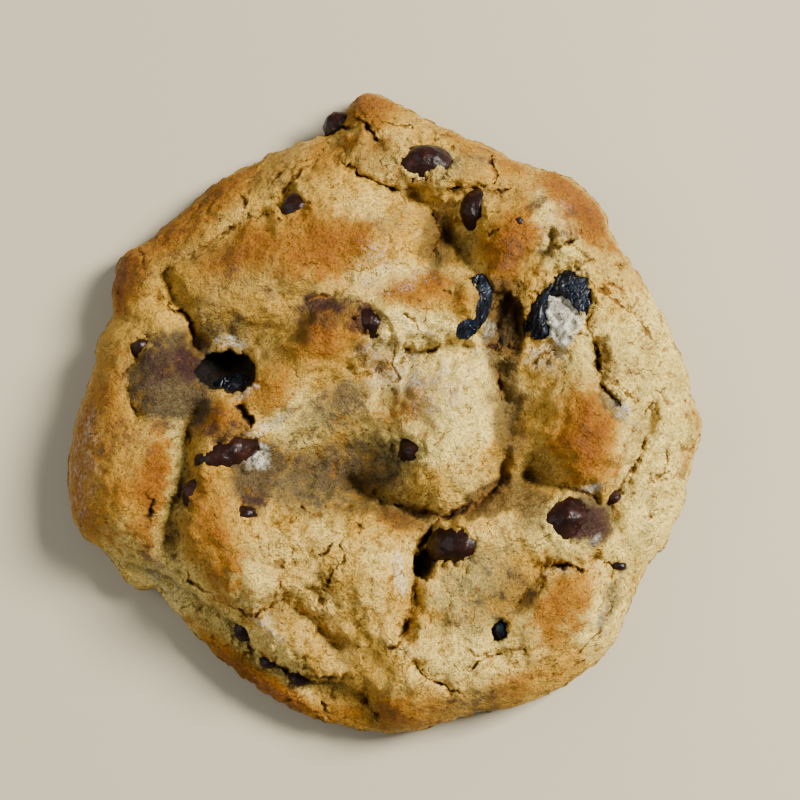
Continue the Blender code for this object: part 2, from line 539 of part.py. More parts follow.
def main():
    for old in list(bpy.data.objects):
        bpy.data.objects.remove(old)
    baked = finish("baked_dough", (0.56, 0.33, 0.13), 0.75)
    chocolate = finish("chocolate", (0.055, 0.022, 0.016), 0.3)
    berry_skin = finish("berry_skin", (0.012, 0.016, 0.03), 0.25)

    mesh = dough_grid()
    middle = place_dough(mesh)
    mesh.shade_smooth()
    mesh.materials.append(baked)
    dough = bpy.data.objects.new("cookie_dough", mesh)
    bpy.context.collection.objects.link(dough)

    sockets = bpy.data.collections.new("pockets")
    bpy.context.scene.collection.children.link(sockets)
    for name, row in CHIPS.items():
        inlay(name, chip_shape, row, middle, chocolate, sockets)
    for name, row in BERRIES.items():
        inlay(name, berry_shape, row, middle, berry_skin, sockets)

    above = [corner.index for corner in mesh.vertices if corner.co.z > 0]
    dough.vertex_groups.new(name="above the flat").add(above, 1.0, "REPLACE")
    fewer = dough.modifiers.new("fewer faces", "DECIMATE")
    fewer.ratio = DOUGH_SHARE
    fewer.vertex_group = "above the flat"
    pockets = dough.modifiers.new("pockets", "BOOLEAN")
    pockets.operation = "DIFFERENCE"
    pockets.operand_type = "COLLECTION"
    pockets.collection = sockets
    pockets.solver = "EXACT"


main()
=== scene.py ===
"""The looks of a chocolate chip cookie: torn and browned dough, chocolate chips and wrinkled dried berries.

Places on the top are (across, up) in millimetres as the photograph shows them, read on a plane through the
middle of the cookie. `seen_at` gives the point at a height that is seen there, so the render falls on the
photograph. Meshes are in metres, in the frame's own axes.
"""
import math

import bmesh
import bpy
import numpy as np
from mathutils import Matrix, Vector, noise as swell


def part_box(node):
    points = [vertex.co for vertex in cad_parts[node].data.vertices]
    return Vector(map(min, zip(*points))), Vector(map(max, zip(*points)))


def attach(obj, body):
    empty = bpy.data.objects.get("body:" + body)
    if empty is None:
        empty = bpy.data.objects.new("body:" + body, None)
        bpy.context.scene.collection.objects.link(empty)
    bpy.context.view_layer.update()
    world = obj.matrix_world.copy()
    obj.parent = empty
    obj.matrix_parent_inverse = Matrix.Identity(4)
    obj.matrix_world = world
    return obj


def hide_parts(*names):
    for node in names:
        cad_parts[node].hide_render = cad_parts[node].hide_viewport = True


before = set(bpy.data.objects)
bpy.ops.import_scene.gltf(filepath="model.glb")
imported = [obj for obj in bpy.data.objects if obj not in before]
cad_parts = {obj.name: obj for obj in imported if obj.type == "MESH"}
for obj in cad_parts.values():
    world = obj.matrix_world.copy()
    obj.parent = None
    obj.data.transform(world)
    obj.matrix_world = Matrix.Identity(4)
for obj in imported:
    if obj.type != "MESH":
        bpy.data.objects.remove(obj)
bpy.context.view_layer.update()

# Without a seed, swell.noise_vector gives other values in each run
swell.seed_set(7)

MM = 0.001

# The view of the photograph, in millimetres on the plane through the middle of the cookie
SIGHT_DISTANCE = 400
SIGHT_ANGLE = math.radians(80)
SIGHT_HEIGHT = 10
PICTURE_WIDTH = 128
PICTURE_MIDDLE = (2.4, 2.08)
SENSOR = 36

# The body of the dough
BASE_HEIGHT = 14
EDGE_HEIGHT = 5
EDGE_UNEVEN = 1
MEAN_RADIUS = 49
RIM_RISE = 11.8
RIM_UNEVEN = 1.8
RIM_REACH = 12
RIM_SLOPE = 0.8
RIM_RELIEF = 0.7
RIM_BLEND = 1
UNDERCUT = 2.8
UNDERCUT_UNEVEN = 0.9
UNDER_LIFT = 0.3
FOOT_RADIUS = 43
SHELF_HEIGHT = 7.4
SHELF_UNEVEN = 0.5
SHELF_RISE = 2.8
SHELF_REACH = 3.2
SHELF_STEP = 5
UNEVEN = 0.35
CREASE_FLOOR = 0.5
CREASE_END = 0.14
MOUND_POWER = 1.6
LUMPS = 0.34
# How far round a place the dough is taken for its hollows, and round a piece for the slope that it rests on
HOLLOW_REACH = (1.3, 3.6)
SLOPE_REACH = 2

# The ragged edge of the dough, finer than its outline: (lumps in a turn over 2 pi, seed, how far they reach)
RAGGED_EDGE = [(19, 311, 0.34), (43, 313, 0.17)]
RAGGED_FROM = (30, 48)

# How noise moves a form's places about, in millimetres: (how far, size of its swells, octaves, two seeds)
MOUNDS_WANDER = (0.45, 4, 3, (3, 11))
GROUND_JAGS = (0.45, 1.9, 3, (201, 211))
PIT_JAGS = (0.5, 1.5, 3, (231, 239))
SEAT_JAGS = (0.3, 1.8, 3, (161, 167))
CRACK_JAGS = (0.42, 1.9, 4, (131, 139))
FINE_CRACK_JAGS = (0.16, 0.7, 2, (133, 137))
COLOUR_BLOTS = (1.3, 5, 3, (321, 331))

# Cracks: how wide they cut, and how much more the crumbly dough tears by itself
CRACK_WIDTH = 0.42
TEARING = 0.24

# The crumbs: the size of the biggest, and how far they stand out at most
CRUMB_SIZE = 2.3
CRUMB_RISE = 0.5
CRUMB_UNEVEN = 0.45
GRAIN_LIMIT = 0.6

# How strong the brown is at the middle of its spots and how fast it fades out from there
FADE_STRENGTH = 1.08
FADE_RATE = 1.1

# The seat of each piece: how deep, as a share of its half height, and how wide, as a share of its plan
SEAT_DEPTH = 0.2
SEAT_WIDTH = 0.92
COLLAR_RISE = 0.24
BERRY_COLLAR_RISE = 0.09

# The mesh of the dough
SQUARES = 214
UNDER_RINGS = 8
FOOT_RINGS = 3

# The edge of the cookie, all round: (across, up)
OUTLINE = [
    (50.6, -2.1), (49.1, 3), (45.3, 14.1), (41.1, 21.3), (36.3, 28.6), (35.2, 31.8), (32.8, 34.9),
    (28, 38.4), (23.5, 39.4), (17.3, 42.2), (7.2, 46.7), (-2.1, 51.2), (-4.6, 50.4), (-8, 45.6),
    (-11, 44.2), (-21.4, 39.8), (-26.4, 37.3), (-31.2, 33.1), (-38.1, 27.5), (-41.6, 25.6), (-43.5, 21),
    (-43.7, 15.5), (-45.8, 11.7), (-46.9, 6.4), (-49.9, -3.5), (-50.6, -10.7), (-49.4, -18.1), (-44, -23),
    (-41.9, -26.4), (-38.9, -28.2), (-36.8, -28.2), (-31.2, -34.4), (-24.2, -41.1), (-12.8, -48.2),
    (2.4, -51.1), (14.1, -48.2), (21.4, -46.9), (32.5, -41), (37, -36), (38.7, -31.8), (41.9, -24.6),
    (44.3, -21.9), (47.8, -14.2), (48.8, -9.4),
]

# Lumps and hollows: (across, up, long reach, short reach, turn in degrees, rise)
MOUNDS = {
    "left_lobe": (-42, -6, 30, 13, 84, 3),
    "left_lobe_low": (-41, -17, 11, 10, 84, 1.5),
    "grey_mound": (-35.2, 6, 11, 8, 100, 2.6),
    "left_pale": (-35.5, -8, 11, 6, 80, 0.8),
    "rim_lobe_left": (-41.2, 21, 9, 5.5, 62, 1.6),
    "rim_strip": (-27, 32, 18, 6, 32, 0.6),
    "dome": (-18, 22, 25, 15, 12, 5.5),
    "dome_top": (-10, 26.5, 15, 10, 0, 3),
    "dome_right": (2.8, 25, 11, 9.5, 60, 4.5),
    "top_mound": (-8, 35.5, 16, 9, -28, 4.5),
    "chip_lump": (4, 41.5, 13, 7.5, -12, 4),
    "top_nub": (-2, 48, 8.5, 5.5, -10, 5.5),
    "upper_right": (12.6, 38.5, 9, 7, -20, 3.2),
    "upper_right_out": (23.5, 37.5, 12, 5.5, -18, 4),
    "orange_ridge": (21, 26, 17, 9, 60, 8.5),
    "orange_shoulder": (17.5, 32.5, 8, 6, 0, 3.5),
    "pale_shoulder": (30, 31.5, 11.5, 8, -45, 4.5),
    "crumbly": (35, 23.5, 10, 8, -50, 2.2),
    "right_dome": (38, 10, 14.5, 11, 105, 4.6),
    "right_rim": (45.5, -5, 17, 9, 76, 1.5),
    "brown_lump": (32.3, -4.5, 12.5, 11, 100, 8.5),
    "pale_patch": (28.5, 6.5, 11, 8.5, -10, 4),
    "centre_lump": (11, -5, 16.5, 14.5, 75, 5.5),
    "centre_high": (11, 6, 13, 9, 10, 3),
    "ridge_right": (9, 16.5, 14, 8.5, 10, 7.5),
    "ridge_mid": (-5.5, 13.3, 13.5, 9, 20, 7.5),
    "ridge_left": (-17, 3.6, 14.5, 8.5, 38, 6.5),
    "chip_mound_left": (-27.4, -4.6, 11, 7, 95, 5),
    "stained_slope": (-21.5, -11.5, 9, 7, 100, 2.5),
    "orange_low_left": (-27.2, -19.5, 16.5, 9, 112, 6.5),
    "orange_toe": (-21.5, -27.8, 10, 7, 15, 3.5),
    "plateau": (-13.2, -21.5, 15, 11.5, -10, 4.2),
    "low_centre": (-1.5, -27.5, 15.5, 11, 95, 4.6),
    "low_left_pale": (-15.4, -36, 13, 8.5, -28, 2.6),
    "low_right": (15.4, -27, 18, 14, 75, 3.6),
    "low_right_top": (15.5, -18, 13, 6.5, 8, 2.6),
    "chip_mound_right": (29, -17.5, 12, 9, -5, 5.2),
    "orange_low_right": (29, -32, 13.5, 11.5, 65, 5.8),
    "bottom_lump": (5, -44, 14, 9, 5, 2),
    "bottom_ridge": (4.6, -38.5, 9, 5.5, 110, 2),
    "bottom_right": (20, -41.6, 15, 7, 14, 1.5),
    "right_foot": (40.4, -18.8, 13, 8, 72, 0.6),
    "basin": (-7.5, -9.6, 16.5, 9.5, 12, -5.4),
    "hollow_top": (-24.5, 10.5, 10.5, 6.5, 10, -3.6),
    "berry_bay": (22, 15, 8.5, 7, 60, -2.4),
    "low_left_dip": (-6, -37.5, 8, 6, -40, -1.5),
    "foot_right_dip": (36.5, -27.5, 9, 4, 75, -1.5),
}

# Soft folds: (points along the crease, depth, reach of its slope on the left of the way, reach on the right)
CREASES = {
    "left_high": ([(-34.1, 24.2), (-34.6, 20.5), (-34.1, 18.1), (-32, 16.5), (-30.9, 14.1),
        (-29.9, 8.4)], 3.6, 4, 4.5),
    "left_low": ([(-27.5, 2.5), (-31.2, -1.1), (-31.8, -9.1), (-34.2, -16.3), (-33.9, -20.3),
        (-32.8, -24.5)], 4.4, 3.5, 7.5),
    "strip": ([(-34.1, 23.7), (-28.8, 26.4), (-23.2, 30.9), (-19.7, 31.8), (-16.8, 32)], 2.6, 4, 5),
    "strip_high": ([(-16.8, 32), (-16.3, 34.1), (-14.9, 37), (-10.1, 41.3), (-5.9, 45.3)], 3.4, 3.5, 4.5),
    "rim_step": ([(-44, 15.5), (-41.5, 17.8), (-38, 18.2), (-35.5, 18.8)], 2.2, 3, 4),
    "grey_ring": ([(-38.1, 14.6), (-38.2, 11.7), (-41.1, 6.9), (-41.1, 3.7), (-39.2, -2)], 1.5, 2.5, 3),
    "top": ([(-6.9, 40.5), (-4.5, 38.1), (0.2, 36.3), (2.4, 35.4), (4.8, 36.3)], 1.5, 3, 3),
    "nub": ([(-6.5, 46), (-3, 45.6), (-1.2, 44), (0.8, 45.4), (5, 46)], 2.6, 3, 2.5),
    "dome_side": ([(2.4, 35.4), (7.2, 32.8), (9.1, 28.5), (7.8, 25.8), (8.5, 22.5)], 2.8, 3.5, 4),
    "dark_fold": ([(9, 35), (13.6, 35.8), (22.4, 35.8)], 2.4, 2.5, 2.5),
    "upper_notch": ([(17.3, 42.2), (17, 39.7), (17.8, 38.1), (16.8, 36)], 2, 2.5, 2.5),
    "ridge_foot": ([(27.7, 31.7), (25.6, 25.8), (20.3, 19.4), (18.4, 16.2), (17.6, 12.5),
        (18.2, 9)], 4.4, 3.2, 4),
    "ridge_left_foot": ([(8.5, 30.5), (11.5, 27.5), (14.2, 24), (16.8, 18.1), (16.8, 14)], 3.8, 4, 4),
    "right_dome_left": ([(33.1, 12.5), (34.1, 9.8), (34.4, 4), (38.2, 0.8)], 3.6, 3, 3.5),
    "crumbly_top": ([(27.5, 27.5), (31.2, 26.1), (35.2, 21.3), (34.5, 18.5)], 1.4, 2, 2),
    "right_line": ([(36.3, 18.9), (39.2, 16.5), (43.5, 10.9)], 1, 2, 2),
    "right_cleft": ([(46.5, 6.5), (44.3, 5.2), (41.4, -2.4), (40.2, -7.8), (36.3, -15.5),
        (36, -21.6)], 2.8, 3.5, 3),
    "centre_side": ([(18.4, 9), (18.1, 5), (20, -1.9), (20.3, -5.1)], 3.4, 5, 4.5),
    "centre_foot": ([(-8.5, -10), (-0.8, -13.9), (4.8, -15.8), (10.1, -16.6), (14.9, -14.6), (18.4, -10.7),
        (20.3, -4.5)], 4.6, 5, 3),
    "brown_foot": ([(20.5, -9.5), (25.6, -10.9), (30.7, -12.5), (35.5, -14.6)], 3.8, 4.5, 3.2),
    "low_cleft": ([(9, -16.6), (5.8, -21.1), (4.8, -26.4), (4.6, -30.7), (2.1, -37.1)], 3.8, 3.5, 4),
    "pale_left_top": ([(-20.8, -32.8), (-16, -30.1), (-10.7, -34.2), (-6.4, -39.5)], 3.2, 3.5, 3.5),
    "right_tuck": ([(20, -33.1), (23.2, -28), (24.8, -25.4), (30.4, -24.6), (36, -23)], 3.2, 3.5, 3),
    "right_foot": ([(36, -21.6), (36.3, -25.9), (34.4, -33.9), (29.6, -39.2), (21.6, -44.3)], 2.2, 3, 3.5),
    "bottom": ([(4.8, -38.7), (5.3, -41.1), (12, -44.8)], 2.4, 3, 2.5),
    "bottom_right": ([(12, -44.8), (14.9, -40), (19.7, -38.2)], 1.4, 2.5, 2.5),
    "ridge_low": ([(2, 11.5), (4.3, 9.8), (12.3, 10.9), (14.9, 9.6)], 2.4, 4, 4),
    "arch_left": ([(-16, 10.1), (-13.9, 14.1), (-11.2, 17.3), (-6.4, 19.2)], 1.8, 4, 2.5),
    "ridge_slope": ([(1, 8), (-6.4, 6.6), (-13.6, 0.2), (-20.8, -4)], 1.6, 4, 5),
}

# The step down to the low shelf, from the left-hand outline to the bottom one. The shelf is on its right.
SHELF = [
    (-46.5, -22), (-43.7, -23.2), (-35.2, -25.6), (-31.8, -28), (-23.8, -33.4), (-20.6, -38.6),
    (-14.9, -41.9), (-6.4, -43.4), (-2.4, -45.9), (-0.8, -50),
]

# Pits: (across, up, half length, half width, turn in degrees, depth)
PITS = {
    "berry_hole": (-25.3, 6.6, 4.7, 3.1, -5, 4.6),
    "cleft_pit": (6.4, -24.2, 2.4, 1.8, 60, 3.2),
    "cleft_toe": (3.4, -35, 2.2, 1.6, 60, 1.8),
    "small_berry_hole": (18.3, -34.9, 1.9, 1.2, 100, 1.6),
    "bay_gap": (19.7, 14.6, 2.4, 5, 10, 2.4),
}

# Dough that laps over a chip or a berry: (across, up, half length, half width, turn in degrees, thickness)
LAPS = {
    "berry_tongue": (28.7, 14.6, 4.9, 3.1, 102, 0.9),
}

# Torn cracks, by the part of the top that they are in: (points, width, depth)
CRACKS = {
    "top": [
        ([(-6.6, 45.6), (-4.8, 45.6)], 1.1, 2.5),
        ([(-4.6, 47.2), (-3.2, 46.1), (-2.1, 44.2), (-0.8, 43.4)], 1, 2),
        ([(-7.2, 40.5), (-5.3, 39.2), (-4.5, 38.1), (-2.1, 37.4), (0, 36.3), (2.4, 35.4),
          (4.8, 36.3)], 0.5, 1.5), ([(-0.3, 46.6), (1.6, 46.1), (3.2, 45.6), (4.5, 45.9)], 0.5, 1.2),
        ([(2.4, 35.4), (3.7, 33.1)], 0.4, 1),
        ([(-16.4, 34.6), (-14.8, 37.4), (-10.4, 41.4), (-8.8, 43.2)], 0.45, 0.9),
        ([(-2, 30.6), (-1, 30.8)], 0.5, 0.9), ([(-12.6, 40.8), (-15.4, 39.6), (-18.4, 36.8)], 0.4, 0.8)],
    "upper_right": [
        ([(17.3, 41.3), (17, 39.7), (17.8, 38.1), (17.1, 36.8), (15.2, 36.3)], 0.7, 1.6),
        ([(10.4, 35.7), (11.7, 36.2), (13.6, 35.8), (16.8, 35.4), (21.6, 35.8)], 0.6, 1.4),
        ([(28.5, 26.9), (30.4, 27.7)], 0.9, 1.4),
        ([(7.2, 32.8), (8.3, 30.6), (9, 28.6), (7.4, 25.8)], 0.4, 1.1),
        ([(9.4, 20.2), (9.8, 19.2), (11, 19)], 0.5, 1), ([(15.2, 28), (17.6, 29), (20, 29.9)], 0.35, 0.8),
        ([(9, 28.6), (8.3, 26.6), (6.6, 24.4)], 0.35, 0.7)],
    "right": [
        ([(33.3, 11.2), (34.1, 9.8), (33.9, 6.1), (34.4, 4.2), (36.3, 2.9), (37.9, 1)], 0.7, 1.6),
        ([(35.7, 20.8), (37.6, 20.2), (38.9, 19.7)], 0.8, 1.4),
        ([(28, -11.5), (30.4, -12.3), (32, -12.6), (34.4, -13.9), (35.7, -14.7)], 0.6, 1.2),
        ([(34.4, 4.6), (36.8, 4.9), (38.6, 3.6), (40, 1.8)], 0.55, 1.1),
        ([(42.9, 1.6), (41.8, 0.5), (41.4, -1.9), (41.3, -5.1), (40.5, -7.5), (37.6, -12),
          (36.3, -13.9)], 0.55, 1.1),
        ([(34.4, 19.7), (37.2, 17.4), (40.8, 14.9), (42.2, 12.6), (43.2, 11.2)], 0.5, 1),
        ([(45.3, -5.9), (45.1, -7.8), (44.3, -9.4), (43.2, -11.4)], 0.45, 1),
        ([(24.6, 8.8), (26.6, 9.6), (28.2, 10.4)], 0.4, 0.8),
        ([(31.6, 14.4), (33.2, 12.8), (33, 10.6)], 0.4, 0.8),
        ([(33.3, 11.2), (32.4, 14.6), (33.8, 17.6)], 0.45, 0.8),
        ([(36, 11.6), (38.4, 10.9), (40.2, 11.6)], 0.3, 0.6)],
    "lower_right": [
        ([(25.6, -24.6), (28, -24.5), (30.4, -24.5), (31.2, -25.1), (32.8, -25.4)], 0.8, 1.8),
        ([(35, -23.8), (36.3, -24.3), (38.4, -25.1)], 0.6, 1.4),
        ([(24.8, -24.3), (25.6, -26.7), (24.8, -28.3)], 0.7, 1.2),
        ([(13.3, -41.4), (14.9, -39.8), (16.8, -39), (19.2, -38.4)], 0.5, 1.1),
        ([(12.4, -36.8), (14.2, -38.6), (17.6, -38.8)], 0.5, 0.9), ([(25.6, -42.7), (32, -39.5)], 0.4, 0.8),
        ([(36.3, -29.9), (35.7, -32.3), (34.4, -34.7), (30.4, -38.7)], 0.4, 0.7)],
    "bottom": [
        ([(8.5, -16.8), (5.9, -21.1), (5.1, -23.5), (4.8, -25.9)], 1.3, 2.2),
        ([(4.8, -25.9), (4.3, -29.9), (3.4, -34), (2, -37)], 0.6, 1.2),
        ([(4.8, -39.5), (5.3, -41.4), (8, -43), (9.6, -43.5), (12, -45)], 0.45, 1.1),
        ([(-3, -45.1), (-2.7, -46.4), (-2.6, -47.8)], 0.45, 1), ([(0.5, -37.9), (2.1, -37.3)], 0.5, 1),
        ([(-10.2, -45.8), (-9.4, -46.8), (-9.8, -48)], 0.5, 0.9), ([(10.6, -32), (11.6, -34.4)], 0.4, 0.8)],
    "lower_left": [
        ([(-24, -33.1), (-21.6, -37.1), (-19.7, -39.2), (-15.2, -41.8), (-12.8, -42.4),
          (-6.4, -42.4)], 0.8, 1.6),
        ([(-7.2, -21.1), (-6.4, -23.2), (-8.5, -25.9), (-9.6, -28), (-10.4, -29.3),
          (-10.9, -31.5)], 0.8, 1.5), ([(-17.1, -23.5), (-16, -24.8)], 0.8, 1.2),
        ([(-8.4, -20.6), (-9.6, -22.4), (-11, -22.8)], 0.7, 1.2),
        ([(-32.8, -23.5), (-31.2, -26.7), (-26.4, -30.2), (-20.8, -32.8), (-19.7, -31.5),
          (-16, -29.9)], 0.5, 1), ([(-19.6, -20.8), (-18.4, -22.6), (-16.6, -22.8)], 0.5, 0.9),
        ([(-14.7, -21.4), (-15, -23.5)], 0.4, 0.8), ([(-16.6, -27.2), (-16.8, -28.3)], 0.35, 0.7),
        ([(-16.8, -18.7), (-15.2, -17.6), (-13.6, -18.4)], 0.3, 0.6)],
    "left": [
        ([(-24.4, 1.5), (-22.8, 0.7), (-22.6, -0.5), (-21.6, -1.1), (-21.3, -2.6)], 1, 2),
        ([(-37.1, -13.1), (-37.3, -15.5), (-37.9, -17.9)], 0.9, 1.2),
        ([(-21.6, 5.5), (-20.6, 5), (-19.5, 4.4)], 0.5, 1),
        ([(-38.1, 13.3), (-38.7, 10.9), (-40.8, 10.9), (-39.7, 8.5), (-41.3, 6.6), (-40.8, 2.9),
          (-39.2, -1.9)], 0.4, 0.9), ([(-34.7, -13.1), (-34.1, -14.7)], 0.4, 0.9),
        ([(-29.6, 0.8), (-31.7, -1.9), (-31.2, -5.1)], 0.35, 0.7)],
    "upper_left": [
        ([(-34.1, 18.1), (-34.7, 16.5), (-31.5, 15.7), (-30.9, 13.3), (-30.7, 10.9),
          (-31.2, 7.7)], 0.7, 1.6), ([(-17.2, 31.2), (-16.4, 30.8)], 0.7, 1.2),
        ([(-35.6, 22.2), (-33.6, 24), (-28.6, 26.6), (-25, 29.6), (-21, 31.4), (-17.2, 32)], 0.45, 1.1),
        ([(-39.6, 27.4), (-38.6, 25), (-39.4, 22.6)], 0.45, 0.9),
        ([(-23.4, 35.2), (-22, 33.6), (-22.6, 31.8)], 0.4, 0.8),
        ([(-12.6, 17.4), (-10.8, 18.6), (-8.2, 18.8)], 0.3, 0.5)],
    "middle": [
        ([(1.6, -14.7), (4, -15.8), (9.6, -16.6), (11.7, -15.5), (15.2, -14.4), (19.2, -10.4)], 1.1, 1.8),
        ([(16, 10.9), (18.4, 10.1)], 0.9, 1.6),
        ([(3.2, 10.4), (4.8, 9.8), (7.2, 9.8), (8.8, 10.9)], 0.7, 1.2),
        ([(-13.6, -14.8), (-11.6, -16.2), (-9.9, -16)], 0.45, 0.9),
        ([(18.4, 7.7), (18.1, 5.3), (18.9, 1.3)], 0.6, 0.9),
        ([(2.7, 15.7), (4, 15.2), (5.1, 14.6), (5.3, 13.3)], 0.35, 0.8),
        ([(-5, -16.8), (-3.6, -18.4), (-4.2, -20)], 0.35, 0.7),
        ([(1.6, 10.9), (1.1, 7.7), (2.4, 5.6), (0, 4), (-1.6, 3.4)], 0.4, 0.7)],
}

# How much browner the dough is made towards the left-hand edge than the right-hand one, and how brown the
# underside is
LEFT_WARMTH = 0.12
UNDER_BROWNING = 0.95

# The tables of colours hold spots by the part of the top, too: (across, up, half length, half width, turn in
# degrees, strength).
# Where the crust has browned
BROWNED = {
    "top": [
        (-10, 26.8, 8, 5.6, 0, 0.85), (-2, 49.3, 5.5, 3.4, -22, 0.62), (-8.4, 41.6, 6, 2.4, 35, 0.45),
        (-1.6, 42.5, 4, 3, 0, 0.35)],
    "upper_right": [
        (20.2, 28.2, 8, 4, 72, 0.78), (31, 33.6, 12, 4.2, -50, 0.68), (14, 43, 10, 2, -24, 0.35),
        (22, 38.4, 9, 3.4, -30, 0.35)],
    "right": [(32.2, -4, 7.4, 5.4, 100, 0.95), (22, 0, 3, 5, 0, 0.35), (49.5, -5, 12, 1.6, 85, 0.25)],
    "lower_right": [
        (28.6, -31.4, 8, 4.4, 72, 0.55), (22, -43.6, 14, 2.4, 28, 0.35), (22.6, -27.4, 3, 5, -30, 0.35)],
    "bottom": [(0.6, -48.2, 12, 3.6, 2, 0.5)],
    "lower_left": [
        (-19, -44.6, 17, 3, -36, 0.8), (-27.6, -19, 9.5, 3.8, 103, 0.6), (-25.6, -25.6, 5, 2.6, -50, 0.3)],
    "left": [
        (-37.2, -11, 9, 3.2, 84, 0.7), (-27, -0.8, 4, 3, 20, 0.5), (-42.4, -13, 6, 4, 0, 0.4),
        (-49, -7, 22, 5, 86, 0.36), (-47.5, -16, 7, 5, 60, 0.35), (-44, -6, 18, 6.5, 84, 0.3)],
    "upper_left": [
        (-42.6, 21.3, 7, 3.4, 65, 0.75), (-22.6, 26, 9, 4, 22, 0.7), (-31, 32.6, 16, 3.8, 39, 0.55),
        (-15, 24.5, 14, 8, 10, 0.15)],
    "middle": [
        (-9.8, 14.2, 4.2, 3.2, 0, 0.8), (6.6, 19.6, 8, 3.4, -8, 0.62), (-9.2, 12.4, 8, 4.4, 20, 0.6),
        (4, 0.8, 3.2, 2.4, 20, 0.5), (1.6, -17, 5, 2.4, -10, 0.45), (-18.4, 4.4, 8, 3, 38, 0.35),
        (2.4, 1.3, 7, 5, 20, 0.35)],
}

# Where melted chocolate and berry juice have greyed the dough, and, in some spots such as the basin's,
# painted shade where a hollow lies in shadow
GREY_STAIN_AND_SHADE = {
    "top": [(0.8, 30.4, 4, 2.6, 0, 0.5), (-15.5, 36.5, 4, 2, 50, 0.4)],
    "upper_right": [(13, 40, 4, 3, 0, 0.6), (22.6, 25, 4, 3, 0, 0.5), (28.6, 28.2, 2.2, 5, -30, 0.45)],
    "right": [
        (32.2, -17, 4.6, 4.2, 0, 1.1), (36.3, 1.8, 4, 1.5, -48, 0.8), (40.4, -22, 5, 2.2, 62, 0.5),
        (27, 7, 6, 3, 0, 0.45), (35, 9, 5, 6, 0, 0.3)],
    "lower_right": [(16, -28, 8, 7, 0, 0.7), (35.8, -31, 7, 1.6, 66, 0.7), (12, -28.6, 4.6, 5.4, -10, 0.55)],
    "bottom": [(14, -46, 7, 1.6, 14, 0.6), (15.2, -46.2, 6, 1.8, 12, 0.6)],
    "lower_left": [(-35.5, -22, 8, 4, -60, 0.35)],
    "left": [
        (-35.2, 5, 5.8, 7, 0, 1.35), (-20.6, -9.4, 4.4, 5.8, -15, 1.3), (-30.8, 4.6, 4.6, 8, 0, 1.2),
        (-41.6, -5.9, 4, 4.4, 0, 0.45), (-31.4, -12, 12, 3.6, 84, 0.35)],
    "upper_left": [
        (-32.6, 9.6, 2.6, 4.4, 0, 1.3), (-26.6, 12.4, 5.6, 3.4, 0, 0.7), (-27, 11, 5.5, 3.6, 0, 0.65),
        (-23, 18, 9, 6, 20, 0.45), (-37.5, 22.5, 4, 2, 60, 0.4)],
    "middle": [
        (-8, -9.6, 13.5, 6, 12, 1), (-7, 1.4, 6.5, 3.8, 32, 0.9), (-14, -5.4, 8, 3.6, 25, 0.6),
        (0, 4.6, 8, 3.4, 24, 0.35), (6, -12, 5, 3, 20, 0.35)],
}

# Painted shade, a dull dark amber, where the dough lies in the lee of a lump
PAINTED_SHADE = {
    "top": [(-17.6, 38.6, 6, 2.6, 38, 0.55), (-0.4, 41.4, 5, 3, 10, 0.55), (-16.5, 40.4, 5, 1.6, 34, 0.5)],
    "upper_right": [
        (18.8, 11, 3, 9, 8, 1.5), (18.4, 17, 3.2, 5.4, 0, 1.3), (8.4, 27.2, 3, 6.5, -10, 1),
        (15, 35.4, 7, 1.6, 0, 0.6), (16, 29.6, 2.6, 5, -20, 0.35)],
    "right": [(21.8, -9.5, 5.4, 5.4, 0, 0.6), (40.6, 0, 8, 1.4, 76, 0.5)],
    "lower_right": [
        (17, -13, 5, 2, 35, 1.6), (21, -13.6, 5.6, 2.6, -16, 1.4), (24, -16.2, 3.6, 3, 0, 0.8),
        (23.4, -27.4, 3, 5, -30, 0.4)],
    "bottom": [(-7.4, -37.2, 6, 2, -50, 0.55), (9, -29.6, 3.4, 8, -6, 0.2)],
    "lower_left": [(-38, -26.4, 7, 2.2, -28, 0.5), (-18, -31, 4.4, 2, -40, 0.5)],
    "left": [(-32.6, -8, 13, 2, 86, 0.45), (-42.6, -5, 5, 3.6, 80, 0.35)],
    "upper_left": [
        (-31.6, 25.6, 6.5, 2.4, 30, 0.6), (-25.6, 25.4, 4.4, 3, 0, 0.5), (-28.5, 19, 4, 6.5, 10, 0.35)],
    "middle": [
        (19.4, 0, 2.8, 8, 4, 1.1), (1, -16, 8, 2.2, -8, 0.9), (-8.8, 16.6, 5, 2.2, 10, 0.8),
        (-13.6, 15, 3, 4.6, -10, 0.75), (-4, -11.6, 10, 4, -10, 0.45), (-12, 0, 8, 3, 32, 0.4)],
}

